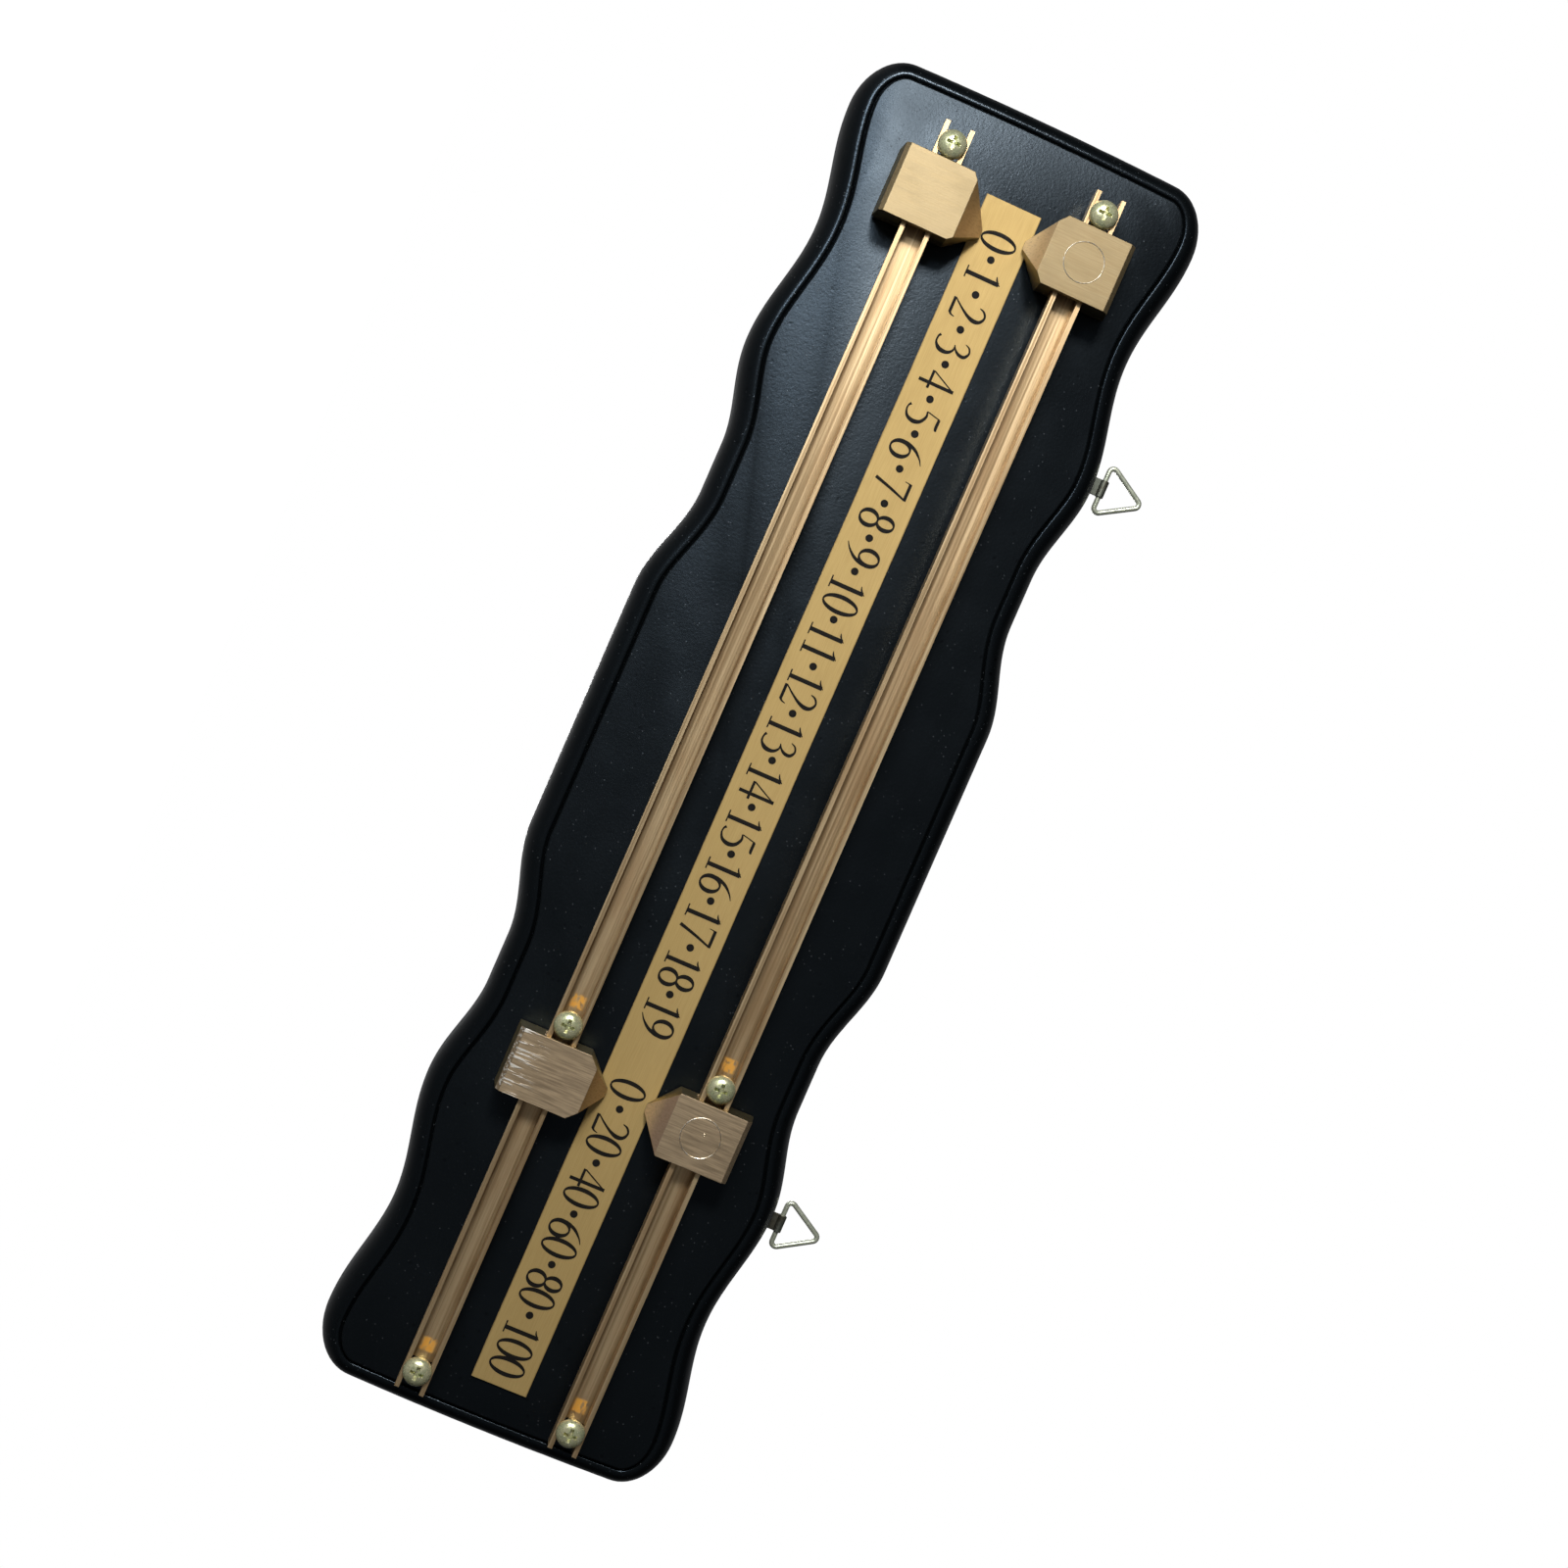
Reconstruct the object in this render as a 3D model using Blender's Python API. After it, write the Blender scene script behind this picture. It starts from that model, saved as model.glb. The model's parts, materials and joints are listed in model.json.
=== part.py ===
"""Wall-hung snooker scoring board, modelled as it hangs.

Frame: +X runs along the scale in reading direction, +Z is up towards the hanging
rings, and the printed face looks towards -Y. The flat back lies in the plane Y = 0
and the origin is at the middle of it. Lengths are in metres. "Height" below means
the distance in front of the board's printed face.
"""

import math

import bmesh
import bpy
from mathutils import Vector

GAP = 0.0003  # air left between neighbouring pieces
OVERSHOOT = 0.001  # how far a cutter runs past the face it opens

# Backboard: a plaque with wavy long edges and an overhanging rounded rim.
BOARD_LENGTH = 0.400
BOARD_THICKNESS = 0.016
# (distance from the middle, half width) at the crests and hollows of the wavy edge.
BOARD_WAVE = (
    (0.000, 0.0545),
    (0.036, 0.0545),
    (0.068, 0.0478),
    (0.082, 0.0478),
    (0.112, 0.0531),
    (0.148, 0.0479),
    (0.183, 0.0529),
)
WAVE_STEPS = 6  # straight pieces between a crest and a hollow
CORNER_DEPTH = 0.0135  # how far the rounded corner reaches down the end
CORNER_STEPS = 6
END_BOW = 0.0006  # the ends swell by this much at their middle
RIM_WIDTH = 0.0064
RIM_DEPTH = 0.012
RIM_STEPS = 6
FILLET_WIDTH = 0.0006  # narrow ledge between the rim and the raised face
FILLET_DEPTH = 0.001
ARRIS = 0.0003  # broken edge around the raised face
BACK_BEVEL = 0.0008

# Score plate: a thin printed brass strip between the rails.
PLATE_LENGTH = 0.356
PLATE_WIDTH = 0.0167
PLATE_THICKNESS = 0.0006
PLATE_CENTRE_X = 0.0053
PLATE_CORNER = 0.0004

# Rails: a grooved head on a narrower foot, so that the pointers can grip under it.
RAIL_Z = 0.0226
RAIL_START_X = -0.1837
RAIL_END_X = 0.1907
RAIL_WIDTH = 0.0085
RAIL_TOP = 0.0098
RAIL_WALL = 0.0013
GROOVE_FLOOR = 0.0048
HEAD_UNDERSIDE = 0.0036
FOOT_WIDTH = 0.0058
END_SLOT_LENGTH = 0.0080

# Rail screws: domed heads that bear on both lips of the rail.
SCREW_X = {"left": -0.1779, "mid": 0.0816, "right": 0.1846}
SCREW_IN_BOARD = 0.0105
RAIL_SCREW = {
    "head_radius": 0.0040,
    "head_height": 0.0027,
    "head_wall": 0.0004,
    "shank_radius": 0.0018,
    "recess_span": 0.0046,
    "recess_width": 0.0010,
    "recess_depth": 0.0016,
}
SCREW_POINT = 0.0030  # length of the taper at the end of a shank
POINT_RADIUS_SHARE = 0.35
POINT_TIP = 0.0006
SCREW_SEGMENTS = 20
DOME_STEPS = 5

# Pointer blocks: they straddle a rail and taper to a blunt tip over the score plate.
BLOCK_OUTER_Z = 0.0340  # at the top; the outer face leans out to the bottom
OUTER_DRAFT = 0.0010
BLOCK_BOTTOM = 0.0013
BLOCK_TOP = 0.0120
TIP_WIDTH = 0.0024
TIP_TOP = 0.0024
OUTER_CHAMFER = 0.0012
RAIL_PLAY = 0.0004
UNITS = {"x": -0.1636, "width": 0.0198}
TWENTIES = {"x": 0.0957, "width": 0.0186}
# Each block was cut by hand, so the places below differ: the tip's offset along X, its
# distance from the plate's middle, and where the tapering sides and the facet begin.
POINTERS = {
    "upper_units": {
        "side": 1,
        **UNITS,
        "tip_x": 0.0,
        "tip_z": 0.0066,
        "shoulder_z": 0.0140,
        "facet_z": 0.0119,
    },
    "lower_units": {
        "side": -1,
        **UNITS,
        "tip_x": 0.0022,
        "tip_z": 0.0055,
        "shoulder_z": 0.0141,
        "facet_z": 0.0126,
    },
    "upper_twenties": {
        "side": 1,
        **TWENTIES,
        "tip_x": -0.0002,
        "tip_z": 0.0064,
        "shoulder_z": 0.0131,
        "facet_z": 0.0128,
    },
    "lower_twenties": {
        "side": -1,
        **TWENTIES,
        "tip_x": 0.0004,
        "tip_z": 0.0054,
        "shoulder_z": 0.0134,
        "facet_z": 0.0107,
    },
}

# Guide studs: each keeps its pointer square by riding in the rail's groove.
STUD_STEM_RADIUS = 0.0024
STUD_HEAD_RADIUS = 0.0056
STUD_HEAD_THICKNESS = 0.0009
STUD_CHAMFER = 0.0003
STUD_SEGMENTS = 24
BLIND_BORE_DEPTH = 0.0012

# Hangers: a folded strap screwed to the back, and a triangular wire ring in its loop.
HANGER_X = {"left": -0.115, "right": 0.115}
RING_AXIS_Y = 0.0010
RING_AXIS_Z = 0.0567
RING_BASE = 0.0156
RING_HEIGHT = 0.0130
RING_CORNER_RADIUS = 0.0013
RING_CORNER_STEPS = 4
WIRE_RADIUS = 0.00075
WIRE_SIDES = 8
STRAP_WIDTH = 0.0066
STRAP_THICKNESS = 0.0006
STRAP_BOTTOM_Z = 0.0376
STRAP_CORNER = 0.0026
STRAP_CORNER_STEPS = 4
LOOP_PLAY = 0.0003
LOOP_STEPS = 14
STRAP_SCREW_Z = 0.0430
STRAP_SCREW_IN_BOARD = 0.0090
STRAP_SCREW = {
    "head_radius": 0.0026,
    "head_height": 0.0014,
    "head_wall": 0.0003,
    "shank_radius": 0.0013,
    "recess_span": 0.0028,
    "recess_width": 0.0007,
    "recess_depth": 0.0009,
}

FACE_Y = -BOARD_THICKNESS
BLACK_PAINT = (0.012, 0.014, 0.017)
RAIL_BRASS = (0.62, 0.47, 0.27)
POINTER_BRASS = (0.55, 0.43, 0.27)
PLATE_GOLD = (0.60, 0.43, 0.19)
SCREW_PLATING = (0.60, 0.58, 0.40)
WIRE_NICKEL = (0.62, 0.61, 0.58)


def front(height):
    """Y of a point at this height in front of the printed face."""
    return FACE_Y - height


def clear_scene():
    for obj in list(bpy.data.objects):
        bpy.data.objects.remove(obj, do_unlink=True)


def make_material(name, colour, metallic, roughness):
    material = bpy.data.materials.new(name)
    material.use_nodes = True
    shader = material.node_tree.nodes["Principled BSDF"]
    shader.inputs["Base Color"].default_value = (*colour, 1.0)
    shader.inputs["Metallic"].default_value = metallic
    shader.inputs["Roughness"].default_value = roughness
    material.diffuse_color = (*colour, 1.0)
    return material


def make_object(name, bm, material, location=(0, 0, 0), smooth_angle=35):
    """Turns a closed bmesh into a named object with outward faces."""
    bmesh.ops.recalc_face_normals(bm, faces=bm.faces)
    mesh = bpy.data.meshes.new(name)
    bm.to_mesh(mesh)
    bm.free()
    mesh.shade_smooth()
    mesh.set_sharp_from_angle(angle=math.radians(smooth_angle))
    if material is not None:
        mesh.materials.append(material)
    obj = bpy.data.objects.new(name, mesh)
    obj.location = location
    bpy.context.scene.collection.objects.link(obj)
    return obj


def cut(target, cutter):
    """Subtracts a hidden helper from an object with a live Boolean."""
    cutter.hide_render = True
    cutter.display_type = "WIRE"
    modifier = target.modifiers.new(cutter.name, "BOOLEAN")
    modifier.operation = "DIFFERENCE"
    modifier.solver = "EXACT"
    modifier.object = cutter


def add_prism(bm, outline, place, start, end):
    """Adds a prism to bm: place(a, b, t) turns outline points and a depth into 3-D."""
    near = [bm.verts.new(place(a, b, start)) for a, b in outline]
    far = [bm.verts.new(place(a, b, end)) for a, b in outline]
    bm.faces.new(near)
    bm.faces.new(far)
    for i in range(len(outline)):
        j = (i + 1) % len(outline)
        bm.faces.new((near[i], near[j], far[j], far[i]))


def along_y(a, b, t):
    return (a, t, b)


def along_x(a, b, t):
    return (t, a, b)


def add_turned(bm, profile, segments, centre=(0, 0, 0)):
    """Adds a solid of revolution about Y from (radius, y) points that start and end on it."""
    cx, cy, cz = centre
    rings = []
    for radius, y in profile:
        if radius == 0:
            rings.append([bm.verts.new((cx, cy + y, cz))])
            continue
        ring = []
        for step in range(segments):
            angle = 2 * math.pi * step / segments
            x = cx + radius * math.cos(angle)
            z = cz + radius * math.sin(angle)
            ring.append(bm.verts.new((x, cy + y, z)))
        rings.append(ring)
    for lower, upper in zip(rings, rings[1:]):
        for i in range(segments):
            j = (i + 1) % segments
            if len(lower) == 1:
                bm.faces.new((lower[0], upper[i], upper[j]))
            elif len(upper) == 1:
                bm.faces.new((lower[i], lower[j], upper[0]))
            else:
                bm.faces.new((lower[i], lower[j], upper[j], upper[i]))


def add_cylinder(bm, radius, y_start, y_end, centre, segments=16):
    profile = [(0, y_start), (radius, y_start), (radius, y_end), (0, y_end)]
    add_turned(bm, profile, segments, centre)


def slice_off(bm, point, normal):
    """Removes what lies beyond a plane from a convex bmesh and caps the cut."""
    geometry = list(bm.verts) + list(bm.edges) + list(bm.faces)
    bmesh.ops.bisect_plane(
        bm, geom=geometry, plane_co=point, plane_no=normal, clear_outer=True, dist=1e-7
    )
    rim = [edge for edge in bm.edges if edge.is_boundary]
    bmesh.ops.contextual_create(bm, geom=rim)


# Backboard ------------------------------------------------------------------


def quarter_outline():
    """Points from the middle of the top edge round the corner to the middle of the end."""
    points = [BOARD_WAVE[0]]
    for (x0, h0), (x1, h1) in zip(BOARD_WAVE, BOARD_WAVE[1:]):
        steps = 1 if h0 == h1 else WAVE_STEPS
        for step in range(1, steps + 1):
            t = step / steps
            ease = (1 - math.cos(math.pi * t)) / 2
            points.append((x0 + (x1 - x0) * t, h0 + (h1 - h0) * ease))
    crest_x, crest_h = BOARD_WAVE[-1]
    corner_reach = BOARD_LENGTH / 2 - END_BOW - crest_x
    for step in range(1, CORNER_STEPS + 1):
        angle = math.pi / 2 * step / CORNER_STEPS
        x = crest_x + corner_reach * math.sin(angle)
        points.append((x, crest_h - CORNER_DEPTH * (1 - math.cos(angle))))
    end_height = crest_h - CORNER_DEPTH
    for share in (0.5, 0.0):
        swell = END_BOW * (1 - share**2)
        points.append((BOARD_LENGTH / 2 - END_BOW + swell, end_height * share))
    return points


def board_outline():
    """The whole outline, clockwise from the middle of the top edge."""
    quarter = quarter_outline()
    lower = [(x, -z) for x, z in reversed(quarter[:-1])]
    right = quarter + lower
    left = [(-x, z) for x, z in reversed(right[1:-1])]
    return right + left


def inset_ring(outline, inset):
    """The outline moved inwards along its normals."""
    ring = []
    for i, (x, z) in enumerate(outline):
        before = outline[i - 1]
        after = outline[(i + 1) % len(outline)]
        tangent = Vector((after[0] - before[0], after[1] - before[1])).normalized()
        inward = Vector((tangent.y, -tangent.x))
        ring.append((x + inward.x * inset, z + inward.y * inset))
    return ring


def board_profile():
    """(inset, y) pairs from the back edge over the rim to the raised face."""
    rim_start = FACE_Y + FILLET_DEPTH + RIM_DEPTH
    profile = [(BACK_BEVEL, 0.0), (0.0, -BACK_BEVEL)]
    for step in range(RIM_STEPS + 1):
        angle = math.pi / 2 * step / RIM_STEPS
        inset = RIM_WIDTH * (1 - math.cos(angle))
        profile.append((inset, rim_start - RIM_DEPTH * math.sin(angle)))
    face_inset = RIM_WIDTH + FILLET_WIDTH
    profile.append((face_inset, FACE_Y + FILLET_DEPTH))
    profile.append((face_inset, FACE_Y + ARRIS))
    profile.append((face_inset + ARRIS, FACE_Y))
    return profile


def build_backboard():
    paint = make_material("black_satin_paint", BLACK_PAINT, 0.0, 0.35)
    bm = bmesh.new()
    outline = board_outline()
    rings = []
    for inset, y in board_profile():
        ring = inset_ring(outline, inset)
        rings.append([bm.verts.new((x, y, z)) for x, z in ring])
    bm.faces.new(rings[0])
    bm.faces.new(rings[-1])
    for lower, upper in zip(rings, rings[1:]):
        for i in range(len(outline)):
            j = (i + 1) % len(outline)
            bm.faces.new((lower[i], lower[j], upper[j], upper[i]))
    board = make_object("backboard", bm, paint)

    holes = bmesh.new()
    rail_screw_bore = RAIL_SCREW["shank_radius"] + GAP
    deep = FACE_Y + SCREW_IN_BOARD + GAP
    for x in SCREW_X.values():
        for side in (1, -1):
            centre = (x, 0, side * RAIL_Z)
            add_cylinder(holes, rail_screw_bore, front(OVERSHOOT), deep, centre)
    strap_screw_bore = STRAP_SCREW["shank_radius"] + GAP
    deep = -STRAP_SCREW_IN_BOARD - GAP
    for x in HANGER_X.values():
        centre = (x, 0, STRAP_SCREW_Z)
        add_cylinder(holes, strap_screw_bore, deep, OVERSHOOT, centre)
    cut(board, make_object("board_holes", holes, None))
    return board


# Score plate ----------------------------------------------------------------


def build_score_plate():
    gold = make_material("gold_plate", PLATE_GOLD, 0.9, 0.38)
    half_x, half_z = PLATE_LENGTH / 2, PLATE_WIDTH / 2
    c = PLATE_CORNER
    outline = []
    for sx, sz in ((1, 1), (-1, 1), (-1, -1), (1, -1)):
        flat = (sx * (half_x - c), sz * half_z)
        steep = (sx * half_x, sz * (half_z - c))
        outline += [steep, flat] if sx * sz > 0 else [flat, steep]
    bm = bmesh.new()
    add_prism(bm, outline, along_y, front(GAP), front(GAP + PLATE_THICKNESS))
    return make_object("score_plate", bm, gold, (PLATE_CENTRE_X, 0, 0))


# Rails ----------------------------------------------------------------------


def rail_section():
    """(y, z) outline of the rail about its own middle."""
    half_head, half_foot = RAIL_WIDTH / 2, FOOT_WIDTH / 2
    half_groove = half_head - RAIL_WALL
    right = [
        (front(GAP), half_foot),
        (front(HEAD_UNDERSIDE), half_foot),
        (front(HEAD_UNDERSIDE), half_head),
        (front(RAIL_TOP), half_head),
        (front(RAIL_TOP), half_groove),
        (front(GROOVE_FLOOR), half_groove),
    ]
    return right + [(y, -z) for y, z in reversed(right)]


def build_rail(name, side, brass):
    bm = bmesh.new()
    add_prism(bm, rail_section(), along_x, RAIL_START_X, RAIL_END_X)
    rail = make_object(name, bm, brass, (0, 0, side * RAIL_Z))

    openings = bmesh.new()
    half_slot = RAIL_WIDTH / 2 - RAIL_WALL
    above = front(GROOVE_FLOOR + OVERSHOOT)
    below = front(-OVERSHOOT)
    slot = [(below, half_slot), (below, -half_slot), (above, -half_slot), (above, half_slot)]
    ends = (
        (RAIL_START_X - OVERSHOOT, RAIL_START_X + END_SLOT_LENGTH),
        (RAIL_END_X - END_SLOT_LENGTH, RAIL_END_X + OVERSHOOT),
    )
    for start, end in ends:
        add_prism(openings, slot, along_x, start, end)
    mid = (SCREW_X["mid"], 0, 0)
    add_cylinder(openings, RAIL_SCREW["shank_radius"] + GAP, below, above, mid)
    cutter = make_object(name + "_openings", openings, None, rail.location)
    cut(rail, cutter)
    return rail


# Rail screws ----------------------------------------------------------------


def cross_outline(span, width):
    """The twelve corners of a cross."""
    a, b = span / 2, width / 2
    return [
        (a, b), (b, b), (b, a), (-b, a), (-b, b), (-a, b),
        (-a, -b), (-b, -b), (-b, -a), (b, -a), (b, -b), (a, -b),
    ]


def screw_profile(sizes, reach):
    """(radius, y) points from the shank's tip to the top of the dome; the head sits on y = 0."""
    shank = sizes["shank_radius"]
    head, wall = sizes["head_radius"], sizes["head_wall"]
    profile = [(0, reach), (shank * POINT_RADIUS_SHARE, reach - POINT_TIP)]
    profile += [(shank, reach - SCREW_POINT), (shank, 0.0), (head, 0.0)]
    for step in range(DOME_STEPS):
        angle = math.pi / 2 * step / DOME_STEPS
        dome = (sizes["head_height"] - wall) * math.sin(angle)
        profile.append((head * math.cos(angle), -wall - dome))
    profile.append((0, -sizes["head_height"]))
    return profile


def build_screw(name, location, turn, plating, sizes, reach):
    """A domed, cross-recessed wood screw; its head looks to -Y before the turn about Z."""
    bm = bmesh.new()
    add_turned(bm, screw_profile(sizes, reach), SCREW_SEGMENTS)
    screw = make_object(name, bm, plating, location)

    pocket = bmesh.new()
    outline = cross_outline(sizes["recess_span"], sizes["recess_width"])
    crown = -sizes["head_height"]
    add_prism(pocket, outline, along_y, crown - OVERSHOOT, crown + sizes["recess_depth"])
    cutter = make_object(name + "_recess", pocket, None, location)
    cut(screw, cutter)
    for obj in (screw, cutter):
        obj.rotation_euler.z = turn


def build_rail_screws(plating):
    reach = RAIL_TOP + GAP + SCREW_IN_BOARD
    for rail, side in (("upper", 1), ("lower", -1)):
        for place, x in SCREW_X.items():
            name = f"{rail}_rail_screw_{place}"
            location = (x, front(RAIL_TOP + GAP), side * RAIL_Z)
            build_screw(name, location, 0, plating, RAIL_SCREW, reach)


# Pointers and their studs ---------------------------------------------------


def rail_clearance_section():
    """(y, z) outline of the passage that a pointer leaves for its rail."""
    half_head = RAIL_WIDTH / 2 + RAIL_PLAY
    half_foot = FOOT_WIDTH / 2 + RAIL_PLAY
    right = [
        (FACE_Y, half_foot),
        (front(HEAD_UNDERSIDE - GAP), half_foot),
        (front(HEAD_UNDERSIDE - GAP), half_head),
        (front(RAIL_TOP + GAP), half_head),
    ]
    return right + [(y, -z) for y, z in reversed(right)]


def pointer_body(shape):
    """The solid block about its rail's middle, with a facet down to the tip and a chamfer."""
    side = shape["side"]
    facet_z, tip_z = shape["facet_z"], shape["tip_z"]

    def from_rail(z):
        return side * (z - RAIL_Z)

    half = shape["width"] / 2
    tip_start = shape["tip_x"] - TIP_WIDTH / 2
    outline = [
        (-half, from_rail(BLOCK_OUTER_Z + OUTER_DRAFT)),
        (half, from_rail(BLOCK_OUTER_Z + OUTER_DRAFT)),
        (half, from_rail(shape["shoulder_z"])),
        (tip_start + TIP_WIDTH, from_rail(tip_z)),
        (tip_start, from_rail(tip_z)),
        (-half, from_rail(shape["shoulder_z"])),
    ]
    bm = bmesh.new()
    add_prism(bm, outline, along_y, front(BLOCK_BOTTOM), front(BLOCK_TOP))
    facet_start = Vector((0, front(BLOCK_TOP), from_rail(facet_z)))
    facet_normal = Vector((0, tip_z - facet_z, side * (TIP_TOP - BLOCK_TOP)))
    slice_off(bm, facet_start, facet_normal.normalized())
    draft_start = Vector((0, front(BLOCK_TOP), from_rail(BLOCK_OUTER_Z)))
    draft_normal = Vector((0, -OUTER_DRAFT, side * (BLOCK_TOP - BLOCK_BOTTOM)))
    slice_off(bm, draft_start, draft_normal.normalized())
    chamfer_start = Vector((0, front(BLOCK_TOP), from_rail(BLOCK_OUTER_Z - OUTER_CHAMFER)))
    slice_off(bm, chamfer_start, Vector((0, -1, side)).normalized())
    return bm


def stud_bore(side):
    """The stepped hole for a stud with a head, or the blind hole for a plain one."""
    bore = bmesh.new()
    inside = front(RAIL_TOP - OVERSHOOT)
    stem = STUD_STEM_RADIUS + GAP
    if side < 0:
        blind_end = front(RAIL_TOP + GAP + BLIND_BORE_DEPTH)
        add_cylinder(bore, stem, inside, blind_end, (0, 0, 0), STUD_SEGMENTS)
        return bore
    head = STUD_HEAD_RADIUS + GAP
    seat = front(BLOCK_TOP - STUD_HEAD_THICKNESS - GAP)
    outside = front(BLOCK_TOP + OVERSHOOT)
    profile = [(0, inside), (stem, inside), (stem, seat)]
    profile += [(head, seat), (head, outside), (0, outside)]
    add_turned(bore, profile, STUD_SEGMENTS)
    return bore


def build_pointer(name, brass):
    shape = POINTERS[name]
    side = shape["side"]
    location = (shape["x"], 0, side * RAIL_Z)
    body = pointer_body(shape)
    pointer = make_object(name + "_pointer", body, brass, location, smooth_angle=20)

    passage = bmesh.new()
    reach = shape["width"] / 2 + OVERSHOOT
    add_prism(passage, rail_clearance_section(), along_x, -reach, reach)
    cut(pointer, make_object(name + "_passage", passage, None, location))
    cut(pointer, make_object(name + "_bore", stud_bore(side), None, location))


def build_stud(name, brass):
    side = POINTERS[name]["side"]
    foot = front(GROOVE_FLOOR + GAP)
    stem = STUD_STEM_RADIUS
    profile = [(0, foot), (stem - STUD_CHAMFER, foot), (stem, foot - STUD_CHAMFER)]
    if side > 0:
        shoulder = front(BLOCK_TOP - STUD_HEAD_THICKNESS)
        profile += [(stem, shoulder), (STUD_HEAD_RADIUS, shoulder)]
        profile += [(STUD_HEAD_RADIUS, front(BLOCK_TOP)), (0, front(BLOCK_TOP))]
    else:
        end = front(RAIL_TOP + BLIND_BORE_DEPTH)
        profile += [(stem, end), (0, end)]
    bm = bmesh.new()
    add_turned(bm, profile, STUD_SEGMENTS)
    make_object(name + "_stud", bm, brass, (POINTERS[name]["x"], 0, side * RAIL_Z))


# Hangers --------------------------------------------------------------------


def strap_section():
    """(y, z) outer outline of the folded strap about the ring's axis, without its loop hole."""
    outer = WIRE_RADIUS + LOOP_PLAY + STRAP_THICKNESS
    bottom = STRAP_BOTTOM_Z - RING_AXIS_Z
    neck = math.asin(STRAP_THICKNESS / outer)
    points = [(STRAP_THICKNESS, bottom)]
    for step in range(LOOP_STEPS + 1):
        angle = -math.pi / 2 + neck + (2 * math.pi - 2 * neck) * step / LOOP_STEPS
        points.append((outer * math.cos(angle), outer * math.sin(angle)))
    points.append((-STRAP_THICKNESS, bottom))
    return points


def round_bottom_corners(bm, bottom):
    """Rounds the edges that run through the strap's thickness at its lower end."""
    near = 1e-6
    corners = []
    for edge in bm.edges:
        a, b = (vert.co for vert in edge.verts)
        is_low = abs(a.z - bottom) < near and abs(b.z - bottom) < near
        if is_low and abs(a.x - b.x) < near:
            corners.append(edge)
    bmesh.ops.bevel(
        bm,
        geom=corners,
        offset=STRAP_CORNER,
        segments=STRAP_CORNER_STEPS,
        profile=0.5,
        affect="EDGES",
    )


def build_strap(name, x, steel):
    bm = bmesh.new()
    half = STRAP_WIDTH / 2
    add_prism(bm, strap_section(), along_x, -half, half)
    round_bottom_corners(bm, STRAP_BOTTOM_Z - RING_AXIS_Z)
    location = (x, RING_AXIS_Y, RING_AXIS_Z)
    strap = make_object(name, bm, steel, location)

    openings = bmesh.new()
    loop = WIRE_RADIUS + LOOP_PLAY
    circle = []
    for step in range(LOOP_STEPS):
        angle = 2 * math.pi * step / LOOP_STEPS
        circle.append((loop * math.cos(angle), loop * math.sin(angle)))
    add_prism(openings, circle, along_x, -half - OVERSHOOT, half + OVERSHOOT)
    centre = (0, 0, STRAP_SCREW_Z - RING_AXIS_Z)
    through = STRAP_THICKNESS + OVERSHOOT
    add_cylinder(openings, STRAP_SCREW["shank_radius"] + GAP, -through, through, centre)
    cut(strap, make_object(name + "_openings", openings, None, location))


def ring_centreline():
    """(x, z) points round the triangle, anticlockwise, with each corner bent to a radius."""
    half = RING_BASE / 2
    corners = [Vector((-half, 0)), Vector((half, 0)), Vector((0, RING_HEIGHT))]
    points = []
    for index, corner in enumerate(corners):
        arriving = (corner - corners[index - 1]).normalized()
        leaving = (corners[(index + 1) % 3] - corner).normalized()
        turn = arriving.angle(leaving)
        inward = (leaving - arriving).normalized()
        arc_centre = corner + inward * (RING_CORNER_RADIUS / math.cos(turn / 2))
        start = math.atan2(-arriving.x, arriving.y)
        for step in range(RING_CORNER_STEPS + 1):
            angle = start + turn * step / RING_CORNER_STEPS
            offset = Vector((math.cos(angle), math.sin(angle))) * RING_CORNER_RADIUS
            points.append(arc_centre + offset)
    return points


def build_ring(name, x, wire):
    """Round wire bent into a triangle that stands up from its hinge bar."""
    path = ring_centreline()
    count = len(path)
    bm = bmesh.new()
    rings = []
    for i, point in enumerate(path):
        arriving = (point - path[i - 1]).normalized()
        leaving = (path[(i + 1) % count] - point).normalized()
        tangent = (arriving + leaving).normalized()
        normal = Vector((tangent.y, -tangent.x))
        ring = []
        for k in range(WIRE_SIDES):
            angle = 2 * math.pi * (k + 0.5) / WIRE_SIDES
            across = normal * WIRE_RADIUS * math.cos(angle)
            y = WIRE_RADIUS * math.sin(angle)
            ring.append(bm.verts.new((point.x + across.x, y, point.y + across.y)))
        rings.append(ring)
    for i in range(count):
        here, there = rings[i], rings[(i + 1) % count]
        for k in range(WIRE_SIDES):
            m = (k + 1) % WIRE_SIDES
            bm.faces.new((here[k], here[m], there[m], there[k]))
    make_object(name, bm, wire, (x, RING_AXIS_Y, RING_AXIS_Z), smooth_angle=60)


def build_hangers(steel):
    head_y = RING_AXIS_Y + STRAP_THICKNESS + GAP
    reach = head_y + STRAP_SCREW_IN_BOARD
    for place, x in HANGER_X.items():
        build_strap(f"{place}_hanger_strap", x, steel)
        build_ring(f"{place}_hanger_ring", x, steel)
        location = (x, head_y, STRAP_SCREW_Z)
        name = f"{place}_hanger_screw"
        build_screw(name, location, math.pi, steel, STRAP_SCREW, reach)


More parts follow.
